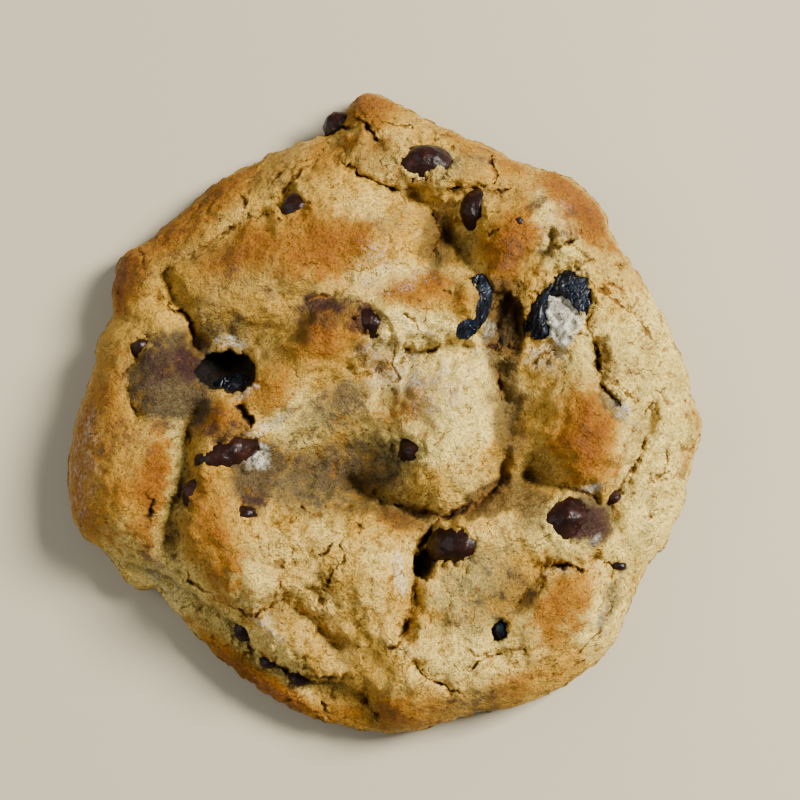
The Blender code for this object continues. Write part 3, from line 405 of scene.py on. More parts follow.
# Where the dough is whitened, by flour that stayed dry or by a torn pale crumb
WHITENED = {
    "top": [(-1, 24.4, 4, 3, 0, 0.35), (0.6, 22, 7, 3.4, 0, 0.3)],
    "upper_right": [(16.8, 12.6, 1.6, 2.4, 0, 0.5), (26.6, 30, 3, 5, -30, 0.3)],
    "right": [
        (28.3, 15, 4.6, 2.8, 102, 1.3), (33.4, -12.2, 2.6, 1, 10, 0.6), (26, 9.6, 4, 2.2, 20, 0.4),
        (38, 1, 1.4, 4, 40, 0.4)],
    "lower_right": [
        (27.6, -25.7, 3.6, 0.6, 4, 0.45), (33, -20.4, 2.6, 1.2, 30, 0.35), (34.6, -33, 3, 4, 30, 0.28)],
    "bottom": [(2.8, -26, 1.4, 5, 6, 0.45)],
    "lower_left": [(-18.6, -33.6, 7, 1.2, -42, 0.4), (-35, -27, 8, 3, -50, 0.32)],
    "left": [(-21, -6.6, 2.8, 2.4, 0, 0.65), (-22, 3.2, 3, 1, 20, 0.4), (-48.6, -8, 18, 3.4, 86, 0.3)],
    "upper_left": [(-25.4, 11, 3.6, 1, 0, 0.5)],
    "middle": [
        (-18.6, -1.6, 4.4, 1.1, 32, 0.5), (1.6, 7, 5.4, 4.2, 0, 0.45), (-1.6, 10, 4, 2.4, 10, 0.4),
        (8, 4, 9, 6, -8, 0.35), (5, 12.8, 8, 3, 0, 0.3), (15, 9.2, 3, 1.8, 0, 0.3)],
}

# Where the dough is paler and creamier than elsewhere
CREAMY = {
    "top": [(-6, 31.6, 6, 3, 20, 0.6), (2, 42, 10, 5, -12, 0.3)],
    "upper_right": [(26.6, 30, 6, 4, -60, 1.6), (31, 30, 10, 5, -46, 0.7)],
    "right": [(45.5, 0, 24, 7, 84, 1.8), (38, 11, 9, 8, 0, 0.8), (40, -20, 10, 5, 70, 0.7)],
    "lower_right": [
        (34, -34, 5, 4, 60, 1.8), (10.8, -26, 6, 5, 0, 0.7), (30, -19, 7, 5, 0, 0.7),
        (14, -38, 12, 5, 10, 0.5)],
    "lower_left": [
        (-19.4, -38.4, 9, 2.6, -40, 1.2), (-33.6, -27.5, 9, 4, -50, 1.1), (-22.4, -27, 5, 3.4, 0, 1),
        (-10, -22, 14, 9, 0, 0.3)],
    "left": [(-35.6, -7, 10, 3, 86, 1.2), (-41.6, -22.9, 6, 3.4, -60, 0.8)],
    "middle": [
        (9, 1, 12, 8, 20, 1.7), (6, 12.8, 9.5, 3.6, 0, 1.4), (-13.4, -1.8, 5, 4, 20, 1),
        (2, 20.6, 10, 4, 0, 0.6)],
}

# Painted shade that blackens the dough down in the pits, the more the deeper they lie
PAINTED_PIT_SHADE = {
    "upper_right": [(20, 15, 2.4, 6, 12, 0.55)],
    "lower_right": [(18.3, -34.9, 2.4, 1.9, 100, 1.2)],
    "bottom": [(5.5, -24, 2.4, 3.4, -20, 0.9)],
    "left": [(-25.3, 6.5, 6, 4.6, -5, 1.4)],
    "middle": [(17.5, 11.5, 2.4, 2.2, 30, 0.7)],
}

# Where a buried chip shows purple through the crust
PURPLE = {
    "upper_right": [(24.2, 33.6, 2.6, 1.5, 0, 0.7)],
    "right": [(33.4, -18.4, 3.6, 3, -20, 1), (33.8, 1.6, 2.4, 1.4, -40, 0.4)],
    "lower_left": [(-21, -14.6, 2.2, 1.8, 0, 0.7)],
    "left": [
        (-31.6, 7.6, 1.8, 3.2, 0, 0.9), (-25.4, -3.4, 4, 2.6, 20, 0.65), (-36.2, 8, 4.2, 3.6, 0, 0.6),
        (-21.6, -7.2, 2.6, 2, 0, 0.6)],
    "middle": [(-9.8, 17.6, 5.4, 1.8, 10, 0.85), (-3, 15.2, 3.4, 2.6, -25, 0.85)],
}

# Where the dough is torn into coarse crumbs
CRUMBLY = {
    "top": [(0, 46.6, 6, 3, -5, 1), (3, 41, 13, 6, -10, 0.7)],
    "upper_right": [(33, 24.5, 9, 5, -48, 1)],
    "right": [
        (38, 10, 10, 8, 0, 1.2), (45, -3, 22, 7, 82, 1.1), (24, 12, 8, 9, 0, 0.9),
        (40, -20, 9, 5, 70, 0.7)],
    "lower_right": [(15, -32, 14, 9, 0, 0.8)],
    "lower_left": [(-12, -22, 14, 10, -30, 1), (-14, -44, 22, 5, -28, 0.8), (-14, -36.5, 12, 6, -34, 0.8)],
    "left": [(-35, 5, 7, 8, 0, 0.8), (-36, -8, 16, 4.5, 84, 0.7), (-34, -10, 14, 4, 85, 0.6)],
    "upper_left": [(-24, 33.5, 14, 5, 35, 0.7)],
    "middle": [(-8, -8, 16, 7, 10, 0.9), (6, 9, 8, 4, 10, 0.8), (9, -1, 12, 10, 0, 0.6)],
}

# (across, up, half length, half width, half height, turn in degrees, how far the top stands out)
CHIPS = {
    "chip_edge": (-7.9, 46.4, 3, 2.9, 2.5, 60, 1.8),
    "chip_top": (6.9, 41.1, 4.9, 3.6, 2.9, 6, 1.7),
    "chip_upper_left": (-14.9, 33.6, 3.2, 2.8, 2.4, 30, 1.2),
    "chip_ridge_side": (13.5, 32.2, 3.6, 2.6, 2.6, 80, 1.3),
    "chip_ridge_sliver": (21.6, 30.7, 1.7, 1.3, 1.2, 20, 0.6),
    "chip_mid_ridge": (-2.4, 14.4, 3.4, 2.6, 2.4, -35, 0.5),
    "chip_centre": (3.7, -6.1, 3.1, 2.5, 2.3, -5, 1),
    "chip_broken": (-24.2, -6.4, 5.2, 3, 2.6, 22, 0.9),
    "chip_left_edge": (-31.2, -12.6, 3, 2.2, 2.2, 80, 1.3),
    "chip_left_small": (-21.8, -16, 2.1, 1.8, 1.6, 10, 0.8),
    "chip_cleft": (9.9, -21.2, 5, 3.4, 2.8, 8, 1.5),
    "chip_right": (29.1, -16.9, 4, 3.4, 2.6, 35, 1.2),
    "chip_right_bit": (37, -13.6, 1.3, 1, 1, 30, 0.6),
    "chip_low_left": (-23.2, -35.2, 2.1, 1.6, 1.6, 70, 0.9),
    "chip_shelf": (-19, -40.2, 1.5, 1.2, 1.1, 20, 0.7),
    "chip_shelf_right": (-13.9, -43, 1.7, 1.1, 1.1, -10, 0.7),
    "chip_grey_mound": (-39.5, 10.9, 1.7, 1.3, 1.2, 30, 0.7),
    "chip_right_foot": (37.8, -24.5, 1.4, 1, 1, -10, 0.6),
}

BERRIES = {
    "dried_berry_big": (27.3, 15.9, 7.8, 5.6, 3.6, 62, 2),
    "dried_berry_tall": (15.3, 16.6, 5.3, 2.4, 2.8, 82, 1.2),
    "dried_berry_hole": (-25.3, 6.5, 4.5, 3, 2.4, -5, -1.7),
    "dried_berry_small": (18.3, -35, 1.5, 1.1, 1.1, 100, -0.5),
}

# The fold in a berry that a lap of dough fills, from the berry's own middle: (along, aside, half length, half
# width, turn in degrees, depth)
FOLDS = {
    "dried_berry_big": (-0.7, -1.8, 5.4, 3.1, 40, 3.2),
}
# What a fold leaves of the berry's half height
LEAST_LEFT = 0.1

# Half of a chip's section, in shares of its half width and half height: (out, up)
CHIP_PROFILE = [(0, -1), (0.66, -0.96), (0.98, -0.58), (0.96, -0.1), (0.74, 0.45), (0.4, 0.82), (0, 1)]
CHIP_SIDES = 48
# How square a chip's plan is, where 2 is an ellipse, and how far its corners are turned, in degrees
ROUND_PLAN = (2.3, 0)
SQUARED = {
    "chip_centre": (4.5, 0),
    "chip_right": (3.5, 10),
    "chip_broken": (3, 30),
    "chip_left_small": (3.5, 0),
}
# The dents in a chip: (depth, size, roughness, octaves)
DENTS = [(0.06, 1.8, 0.9, 3), (0.03, 0.6, 0.8, 2)]

BERRY_FINENESS = 6
# The skin of a berry: how far its wrinkles are bent and over what size, then, for the long and the fine
# wrinkles, their size along and across, how much they draw the skin in and how sharply
WRINKLE_BEND = (0.9, 2.6)
LONG_WRINKLE = (4.6, 1.2, 0.13, 2.2)
FINE_WRINKLE = (2.2, 0.6, 0.035, 2)
DRAWN_IN = 0.9


def noise(x, y, seed):
    """Smooth gradient noise over the plane, about -1 to 1, with one cell to a unit."""
    column = np.floor(x).astype(np.int64)
    row = np.floor(y).astype(np.int64)

    def corner(i, j):
        mixed = (i * 374761393 + j * 668265263 + seed * 974634777) & 0xFFFFFFFF
        mixed = ((mixed ^ (mixed >> 13)) * 1274126177) & 0xFFFFFFFF
        angle = (mixed ^ (mixed >> 16)) % 4096 / 4096 * 2 * math.pi
        return np.cos(angle) * (x - i) + np.sin(angle) * (y - j)

    across = x - column
    along = y - row
    across = across ** 3 * (across * (across * 6 - 15) + 10)
    along = along ** 3 * (along * (along * 6 - 15) + 10)
    low = corner(column, row) * (1 - across) + corner(column + 1, row) * across
    high = corner(column, row + 1) * (1 - across) + corner(column + 1, row + 1) * across
    return (low * (1 - along) + high * along) * 1.5


def fractal(u, v, size, seed, octaves=3):
    """Noise whose largest swells are `size` across, with finer ones on them."""
    total = np.zeros_like(u)
    weight = 1.0
    for octave in range(octaves):
        total = total + weight * noise(u / size + 17.3 * octave, v / size - 9.1 * octave, seed + octave)
        size = size / 2.03
        weight = weight * 0.5
    return total


def shaken(u, v, way):
    """The places moved about by noise, so that a form laid out on them gets a ragged edge."""
    far, size, octaves, seeds = way
    return u + far * fractal(u, v, size, seeds[0], octaves), v + far * fractal(u, v, size, seeds[1], octaves)


def smoothstep(low, high, x):
    """0 below low, 1 above high, and a smooth rise between them."""
    t = np.clip((x - low) / (high - low), 0, 1)
    return t * t * (3 - 2 * t)


def shoulder(share):
    """1 where the share is 0, falling to 0 at a share of 1 as the side of a round lump does."""
    return 1 - np.sqrt(np.clip(1 - (1 - np.clip(share, 0, 1)) ** 2, 0, 1))


def outline_radius(angle):
    """How far the outline is from the middle in each direction, on a smooth closed curve through OUTLINE."""
    points = np.array(OUTLINE)
    turns = np.arctan2(points[:, 1], points[:, 0])
    order = np.argsort(turns)
    turns = turns[order]
    reach = np.hypot(points[:, 0], points[:, 1])[order]
    turns = np.concatenate([turns[-2:] - 2 * math.pi, turns, turns[:2] + 2 * math.pi])
    reach = np.concatenate([reach[-2:], reach, reach[:2]])
    k = np.clip(np.searchsorted(turns, angle, side="right") - 1, 1, len(turns) - 3)
    span = turns[k + 1] - turns[k]
    t = (angle - turns[k]) / span
    slope_in = (reach[k + 1] - reach[k - 1]) / (turns[k + 1] - turns[k - 1]) * span
    slope_out = (reach[k + 2] - reach[k]) / (turns[k + 2] - turns[k]) * span
    return ((2 * t ** 3 - 3 * t ** 2 + 1) * reach[k] + (t ** 3 - 2 * t ** 2 + t) * slope_in
            + (3 * t ** 2 - 2 * t ** 3) * reach[k + 1] + (t ** 3 - t ** 2) * slope_out)


def around_rim(angle, size, seed):
    """Noise that changes only with the direction from the middle, with about 2 pi x size lumps in a turn."""
    return noise(size * np.cos(angle), size * np.sin(angle), seed)


def edge_height(angle):
    """The height at which the side of the dough reaches furthest out."""
    return EDGE_HEIGHT + EDGE_UNEVEN * around_rim(angle, 2.2, 71)


def beside(u, v, points):
    """Each place's distance from a line, its side of it (1 left, -1 right) and its share of the way along."""
    points = np.array(points)
    legs = np.hypot(*np.diff(points, axis=0).T)
    begun = np.concatenate([[0], np.cumsum(legs)])
    distance = np.full_like(u, np.inf)
    side = np.ones_like(u)
    way = np.zeros_like(u)
    for k, leg in enumerate(legs):
        du, dv = (points[k + 1] - points[k]) / leg
        across, up = u - points[k][0], v - points[k][1]
        along = np.clip(across * du + up * dv, 0, leg)
        here = np.hypot(across - along * du, up - along * dv)
        nearer = here < distance
        distance = np.where(nearer, here, distance)
        side = np.where(nearer, np.sign(du * up - dv * across), side)
        way = np.where(nearer, (begun[k] + along) / begun[-1], way)
    return distance, side, way


def close_to(u, v, points, reach):
    """Which places lie in the box round a line, widened by a reach."""
    low = np.min(points, axis=0) - reach
    high = np.max(points, axis=0) + reach
    return np.flatnonzero((u > low[0]) & (u < high[0]) & (v > low[1]) & (v < high[1]))


def within(u, v, place):
    """0 at the middle of an ellipse (across, up, half length, half width, turn), 1 on its line, squared."""
    across, up, long, short, turn = place
    c, s = math.cos(math.radians(turn)), math.sin(math.radians(turn))
    p = ((u - across) * c + (v - up) * s) / long
    q = ((v - up) * c - (u - across) * s) / short
    return p * p + q * q


def ground(u, v):
    """The height of the dough at each place, before its pits, seats and laps."""
    wu, wv = shaken(u, v, MOUNDS_WANDER)
    z = np.full_like(u, BASE_HEIGHT)
    for *place, rise in MOUNDS.values():
        z += rise * np.clip(1 - within(wu, wv, place), 0, 1) ** MOUND_POWER
    for points, depth, left, right in CREASES.values():
        near = close_to(wu, wv, points, max(left, right))
        distance, side, way = beside(wu[near], wv[near], points)
        fade = smoothstep(0, CREASE_END, way) * smoothstep(1, 1 - CREASE_END, way)
        reach = np.where(side > 0, left, right)
        full = shoulder(CREASE_FLOOR / reach)
        z[near] -= depth * fade * shoulder(np.hypot(distance, CREASE_FLOOR) / reach) / full
    angle = np.arctan2(v, u)
    edge = edge_height(angle)
    inset = np.maximum(outline_radius(angle) - np.hypot(u, v), 0)
    rise = RIM_RISE + RIM_UNEVEN * around_rim(angle, 2.6, 83)
    rim = edge + rise * (1 - shoulder(inset / RIM_REACH)) + RIM_SLOPE * np.maximum(inset - RIM_REACH, 0)
    rim += RIM_RELIEF * (z - BASE_HEIGHT) * smoothstep(0, RIM_REACH, inset)
    z = -RIM_BLEND * np.log(np.exp(-z / RIM_BLEND) + np.exp(-rim / RIM_BLEND))
    distance, side, _ = beside(wu, wv, SHELF)
    shelf = np.minimum(SHELF_HEIGHT + SHELF_UNEVEN * fractal(u, v, 6, 31),
                       edge + SHELF_RISE * (1 - shoulder(inset / SHELF_REACH)))
    z = np.where(side > 0, shelf + (z - shelf) * (1 - shoulder(distance / SHELF_STEP)), shelf)
    return z + UNEVEN * fractal(u, v, 5, 51) * smoothstep(0, 2, inset)


def hollowness(u, v):
    """How far each place lies below the dough round it, in millimetres, near by and further off."""
    here = ground(u, v)
    depths = []
    for reach in HOLLOW_REACH:
        round_it = sum(ground(u + reach * math.cos(turn), v + reach * math.sin(turn))
                       for turn in np.arange(8) * math.pi / 4) / 8
        depths.append(round_it - here)
    return depths


def faded(share):
    """How strong a spot of brown is: it fades out slowly from its middle."""
    return FADE_STRENGTH * np.exp(-FADE_RATE * share)


def patch(share):
    """How strong any other spot of colour is: it ends softly a little past its line."""
    return smoothstep(2, 0, share)


def spots(u, v, table, strength_at=patch):
    """How strongly each place is coloured by the spots of a table."""
    total = np.zeros_like(u)
    for *place, strength in sum(table.values(), []):
        total = np.maximum(total, strength * strength_at(within(u, v, place)))
    return total


def crack_marks(u, v):
    """How deep the torn cracks cut at each place, and how near it is to one (1 in it, 0 away)."""
    coarse_u, coarse_v = shaken(u, v, CRACK_JAGS)
    fine_u, fine_v = shaken(u, v, FINE_CRACK_JAGS)
    ru, rv = coarse_u + fine_u - u, coarse_v + fine_v - v
    uneven = np.maximum(0.66 + 0.75 * fractal(u, v, 3, 151, 3), 0.12)
    tear = fractal(ru, rv, 2.3, 181, 4) - 0.1 + TEARING * spots(u, v, CRUMBLY)
    cut = 0.55 * smoothstep(0.62, 1, tear)
    torn = 0.8 * smoothstep(0.45, 0.8, tear)
    for points, width, depth in sum(CRACKS.values(), []):
        spot = close_to(ru, rv, points, 4 * width)
        distance, _, way = beside(ru[spot], rv[spot], points)
        narrowing = 0.3 + 0.7 * smoothstep(0, 0.25, way) * smoothstep(1, 0.75, way)
        half = CRACK_WIDTH * width * uneven[spot] * narrowing
        cut[spot] = np.maximum(cut[spot], 0.7 * depth * uneven[spot] * smoothstep(1.5, 0.4, distance / half))
        torn[spot] = np.maximum(torn[spot], smoothstep(3.4, 0.8, distance / half))
    return cut, torn


def pressed(u, v):
    """How much the pits, the seats of the pieces and the laps over them change the ground."""
    ru, rv = shaken(u, v, SEAT_JAGS)
    change = np.zeros_like(u)
    for *place, depth in PITS.values():
        change -= depth * smoothstep(1.25, 0.75, within(ru, rv, place))
    for across, up, long, short, half_height, turn, _ in [*CHIPS.values(), *BERRIES.values()]:
        seat = within(ru, rv, (across, up, SEAT_WIDTH * long, SEAT_WIDTH * short, turn))
        change -= SEAT_DEPTH * half_height * smoothstep(1.25, 0.7, seat)
    for *place, level in LAPS.values():
        change += (level - change) * smoothstep(1.25, 0.6, within(ru, rv, place))
    return change


def collars(u, v):
    """Crumbs of dough that climb onto the edges of the chips and the berries, with ragged gaps."""
    rough = fractal(u, v, 1.7, 171, 3)
    rise = np.zeros_like(u)
    for table, part in ((CHIPS, COLLAR_RISE), (BERRIES, BERRY_COLLAR_RISE)):
        for across, up, long, short, half_height, turn, _ in table.values():
            share = np.sqrt(within(u, v, (across, up, long, short, turn)))
            ring = smoothstep(0.35, 0.75, share) * smoothstep(1.5, 0.95, share)
            rise += part * half_height * ring * (0.3 + 1.3 * rough)
    return rise


def height(u, v):
    """The height of the dough at each place, and how deep and torn its cracks, and how deep its pits, are."""
    cut, torn = crack_marks(u, v)
    angle = np.arctan2(v, u)
    inner = smoothstep(0.5, 5, outline_radius(angle) - np.hypot(u, v))
    ju, jv = shaken(u, v, GROUND_JAGS)
    ju, jv = u + (ju - u) * inner, v + (jv - v) * inner
    lumps = LUMPS * inner * fractal(u, v, 3.2, 221, 2)
    sunk = -pressed(*shaken(u, v, PIT_JAGS))
    return ground(ju, jv) - sunk + collars(u, v) + lumps - cut, cut, torn, sunk


def seen_at(u, v, z):
    """The point at height z that is seen at (u, v), in millimetres."""
    c, s = math.cos(SIGHT_ANGLE), math.sin(SIGHT_ANGLE)
    eye_y, eye_z = -SIGHT_DISTANCE * c, SIGHT_HEIGHT + SIGHT_DISTANCE * s
    share = (eye_z - z) / (eye_z - SIGHT_HEIGHT - c * v)
    return u * share, eye_y + (s * v - eye_y) * share, z


def rounded_plan(x, y):
    """Where a place on the flat square grid lies on the cookie: its direction, and how far out it is.

    The rings of squares step evenly over the rim.
    """
    x, y = x * np.sqrt(1 - y * y / 2), y * np.sqrt(1 - x * x / 2)
    angle = np.arctan2(y, x)
    from_edge = 1 - np.clip(np.hypot(x, y), 0, 1)
    over_rim = math.pi / 2 * math.hypot(RIM_RISE, RIM_REACH) / math.sqrt(2)
    rim_share = over_rim / (over_rim + MEAN_RADIUS - RIM_REACH)
    quarter = np.clip(from_edge / rim_share, 0, 1) * math.pi / 2
    inset = (RIM_REACH * (1 - np.cos(quarter))
             + (MEAN_RADIUS - RIM_REACH) * np.clip((from_edge - rim_share) / (1 - rim_share), 0, 1))
    return angle, outline_radius(angle) * (1 - inset / MEAN_RADIUS)


def corners_of(mesh):
    flat = np.empty(len(mesh.vertices) * 3)
    mesh.vertices.foreach_get("co", flat)
    return flat.reshape(-1, 3)


def put_corners(mesh, points):
    mesh.vertices.foreach_set("co", np.ascontiguousarray(points).ravel())
    mesh.update()


def refine(bm):
    """Halves the squares of the flat grid near the cracks, the chips, the berries and the pits."""
    flat = np.array([corner.co for corner in bm.verts])
    angle, out = rounded_plan(flat[:, 0], flat[:, 1])
    u, v = out * np.cos(angle), out * np.sin(angle)
    fine = np.zeros(len(u), bool)
    for points, width, _ in sum(CRACKS.values(), []):
        spot = close_to(u, v, points, 2.5)
        fine[spot] |= beside(u[spot], v[spot], points)[0] < 0.7 + width
    for across, up, long, short, _, turn, _ in [*CHIPS.values(), *BERRIES.values()]:
        ring = within(u, v, (across, up, long, short, turn))
        fine |= (ring > 0.25) & (ring < 1.3)
    for *place, _ in [*LAPS.values(), *PITS.values()]:
        fine |= within(u, v, place) < 1.5
    edges = [edge for edge in bm.edges if fine[edge.verts[0].index] and fine[edge.verts[1].index]]
    bmesh.ops.subdivide_edges(bm, edges=edges, cuts=1, use_grid_fill=True)


def dough_grid():
    """A flat square grid with its edge extruded down in rings and closed by one face."""
    bm = bmesh.new()
    bmesh.ops.create_grid(bm, x_segments=SQUARES, y_segments=SQUARES, size=1)
    bm.verts.ensure_lookup_table()
    bm.verts.index_update()
    refine(bm)
    edges = [edge for edge in bm.edges if edge.is_boundary]
    for _ in range(UNDER_RINGS + FOOT_RINGS):
        grown = bmesh.ops.extrude_edge_only(bm, edges=edges)["geom"]
        edges = [item for item in grown if isinstance(item, bmesh.types.BMEdge) and item.is_boundary]
        for corner in {corner for edge in edges for corner in edge.verts}:
            corner.co.z -= 1
    bmesh.ops.contextual_create(bm, geom=edges)
    bmesh.ops.recalc_face_normals(bm, faces=bm.faces)
    mesh = bpy.data.meshes.new("dough")
    bm.to_mesh(mesh)
    bm.free()
    return mesh


def keep(mesh, name, values):
    mesh.attributes.new(name, "FLOAT", "POINT").data.foreach_set("value", values.astype(np.float32))


def make_dough():
    """The dough's mesh with its colours' masks, and the middle of its plan."""
    mesh = dough_grid()
    x, y, ring = corners_of(mesh).T
    angle, out = rounded_plan(x, y)
    under = np.minimum(-ring / UNDER_RINGS, 1) * math.pi / 2
    undercut = UNDERCUT + UNDERCUT_UNEVEN * around_rim(angle, 3.4, 97)
    out = out - undercut * (1 - np.cos(under))
    ragged = sum(far * around_rim(angle, size, seed) for size, seed, far in RAGGED_EDGE)
    out = out + smoothstep(*RAGGED_FROM, out) * ragged
    inward = np.clip((-ring - UNDER_RINGS) / FOOT_RINGS, 0, 1)
    out = out * (1 - inward) + FOOT_RADIUS * inward
    u, v = out * np.cos(angle), out * np.sin(angle)
    top, cut, torn, sunk = height(u, v)
    side = ring < 0
    z = np.where(side, UNDER_LIFT + (edge_height(angle) - UNDER_LIFT) * (1 - np.sin(under)), top)
    z = z - UNDER_LIFT * inward
    px, py, pz = seen_at(u, v, z)
    low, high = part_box("cookie_dough")
    middle = ((px.min() + px.max()) / 2 - (low.x + high.x) / 2 / MM,
              (py.min() + py.max()) / 2 - (low.y + high.y) / 2 / MM)
    put_corners(mesh, np.stack([px - middle[0], py - middle[1], pz], axis=1) * MM)

    crumbly = spots(u, v, CRUMBLY) * (0.55 + 0.75 * fractal(u, v, 5, 301, 2).clip(-0.6, 0.8))
    crumbly = np.where(side, 0.35 + 0.3 * crumbly, crumbly)
    grain(mesh, crumbly, pz)
    bu, bv = shaken(u, v, COLOUR_BLOTS)
    browned = spots(bu, bv, BROWNED, faded) + LEFT_WARMTH * smoothstep(45, -45, u)
    below = smoothstep(0.1, 0.9, np.minimum(-ring / UNDER_RINGS, 1))
    near_hollow, far_hollow = hollowness(u, v)
    keep(mesh, "browned", browned + (UNDER_BROWNING - browned) * below)
    keep(mesh, "creamy", spots(bu, bv, CREAMY))
    keep(mesh, "crumbly", crumbly)
    only_on_top = {
        "grey_stain_and_shade": spots(bu, bv, GREY_STAIN_AND_SHADE),
        "painted_shade": spots(bu, bv, PAINTED_SHADE),
        "purple": spots(bu, bv, PURPLE),
        "whitened": spots(bu, bv, WHITENED),
        "pit_shade": spots(u, v, PAINTED_PIT_SHADE) * smoothstep(0.5, 1.7, sunk),
        "hollow": 0.9 * near_hollow + 0.45 * far_hollow,
        "torn": torn,
        "cut": cut,
    }
    for name, mask in only_on_top.items():
        keep(mesh, name, np.where(side, 0, mask))
    mesh.shade_smooth()
    return mesh, middle


def crumbs(points, size):
    """How far each point stands out as one of many packed round crumbs: 0 between them, 1 on their tops."""
    apart = np.empty(len(points))
    for k, p in enumerate(points):
        place = Vector(p) / (size * MM)
        near = swell.voronoi(place + CRUMB_UNEVEN * swell.noise_vector(place * 1.7))[0]
        apart[k] = near[1] - near[0]
    return smoothstep(-0.15, 0.5, apart)


def swells(points, size, roughness, octaves):
    """Fractal noise in space at each point, with swells of a size in millimetres."""
    return np.array([swell.fractal(Vector(p) / (size * MM), roughness, 2, octaves) for p in points])


def grain(mesh, crumbly, pz):
    """Moves each corner out or in by the lumps and the crumbs of the dough, but not where it rests."""
    normals = np.empty(len(mesh.vertices) * 3)
    mesh.vertex_normals.foreach_get("vector", normals)
    normals = normals.reshape(-1, 3)
    points = corners_of(mesh)
    big = crumbs(points, CRUMB_SIZE)
    small = crumbs(points + 3 * MM, CRUMB_SIZE / 2)
    move = (0.14 + 0.1 * crumbly) * swells(points, 2.2, 0.9, 3)
    move += (0.09 + 0.1 * crumbly) * swells(points, 1.1, 0.8, 2)
    move += crumbly * CRUMB_RISE * (big - 0.5 + 0.4 * (small - 0.5))
    move = np.clip(move, -GRAIN_LIMIT, GRAIN_LIMIT) * smoothstep(0.2, 1.5, pz)
    put_corners(mesh, points + normals * move[:, None] * MM)
    # How far each place lies between the crumbs, for the painted shade in the gaps
    keep(mesh, "between", crumbly * (1 - big))


def resting_frame(u, v, turn, middle):
    """A frame on the dough at (u, v): z along the mean slope's normal, x turned from the way across."""
    around = np.arange(8) * math.pi / 4
    us, vs = u + SLOPE_REACH * np.cos(around), v + SLOPE_REACH * np.sin(around)
    points = [Vector(point) for point in zip(*seen_at(us, vs, ground(us, vs)))]
    normal = Vector()
    for a, b in zip(points, points[1:] + points[:1]):
        normal += a.cross(b)
    normal.normalize()
    centre = sum(points, Vector()) / len(points) - Vector((*middle, 0))
    across = Vector((math.cos(math.radians(turn)), math.sin(math.radians(turn)), 0))
    across = (across - normal * across.dot(normal)).normalized()
    place = Matrix((across, normal.cross(across), normal)).transposed().to_4x4()
    place.translation = centre
    return place


def set_piece(name, bm, row, middle, material):
    """Puts a chip or berry shape in its place in the dough, in its node's stead."""
    u, v, _, _, half_height, turn, stands_out = row
    place = resting_frame(u, v, turn, middle)
    place.translation += place.col[2].xyz * (stands_out - half_height)
    bm.transform(Matrix.Scale(MM, 4) @ place)
    mesh = bpy.data.meshes.new(name)
    bm.to_mesh(mesh)
    bm.free()
    mesh.shade_smooth()
    mesh.materials.append(material)
    piece = bpy.data.objects.new("fine_" + name, mesh)
    bpy.context.collection.objects.link(piece)
    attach(piece, "root")
    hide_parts(name)


def chip_shape(name, row, seed):
    """A chocolate drop, spun from its profile, with a few dents and melted bumps."""
    half_length, half_width, half_height = row[2:5]
    bm = bmesh.new()
    corners = [bm.verts.new((out, 0, up)) for out, up in CHIP_PROFILE]
    edges = [bm.edges.new(pair) for pair in zip(corners, corners[1:])]
    bmesh.ops.subdivide_edges(bm, edges=edges, cuts=3, smooth=1)
    bmesh.ops.spin(bm, geom=bm.verts[:] + bm.edges[:], cent=(0, 0, 0), axis=(0, 0, 1), angle=2 * math.pi,
                   steps=CHIP_SIDES, use_merge=True)
    bmesh.ops.remove_doubles(bm, verts=bm.verts, dist=1e-4)
    bmesh.ops.recalc_face_normals(bm, faces=bm.faces)
    bm.normal_update()
    spread = Vector((half_length, half_width, half_height))
    power, corner_turn = SQUARED.get(name, ROUND_PLAN)
    for corner in bm.verts:
        turn = math.atan2(corner.co.y, corner.co.x) - math.radians(corner_turn)
        widen = (abs(math.cos(turn)) ** power + abs(math.sin(turn)) ** power) ** (-1 / power)
        corner.co.x *= widen
        corner.co.y *= widen
        at = corner.co * spread + Vector((seed * 7.3, seed * 3.1, 0))
        dent = sum(depth * swell.fractal(at / size, rough, 2, octaves)
                   for depth, size, rough, octaves in DENTS)
        corner.co = corner.co + corner.normal * dent
    bmesh.ops.scale(bm, vec=spread, verts=bm.verts)
    return bm


def wrinkle(at, start, kind):
    """How far the skin is drawn in at a point by wrinkles that run along the berry."""
    along, across, depth, sharpness = kind
    stretched = Vector((at.x / along, at.y / across, at.z / across)) + start
    return depth * (1 - abs(swell.noise(stretched)) * sharpness)


def berry_shape(name, row, seed):
    """A dried berry: a ball drawn out to an oval, its skin drawn in along many sharp wrinkles."""
    half_length, half_width, half_height = row[2:5]
    bm = bmesh.new()
    bmesh.ops.create_icosphere(bm, subdivisions=BERRY_FINENESS, radius=1.0)
    size = Vector((half_length, half_width, half_height))
    for corner in bm.verts:
        at = corner.co * size
        bent = at + WRINKLE_BEND[0] * swell.noise_vector(at / WRINKLE_BEND[1] + Vector((seed, 0, 0)))
        long = wrinkle(bent, Vector((0, seed * 5.1, 0)), LONG_WRINKLE)
        corner.co = corner.co * (DRAWN_IN + long + wrinkle(bent, Vector((0, 0, seed)), FINE_WRINKLE))
    bmesh.ops.scale(bm, vec=size, verts=bm.verts)
    if name in FOLDS:
        *place, depth = FOLDS[name]
        for corner in bm.verts:
            if corner.co.z > 0:
                folded = depth * smoothstep(1.0, 0.2, within(corner.co.x, corner.co.y, place))
                corner.co.z = max(corner.co.z - folded, LEAST_LEFT * corner.co.z)
    return bm


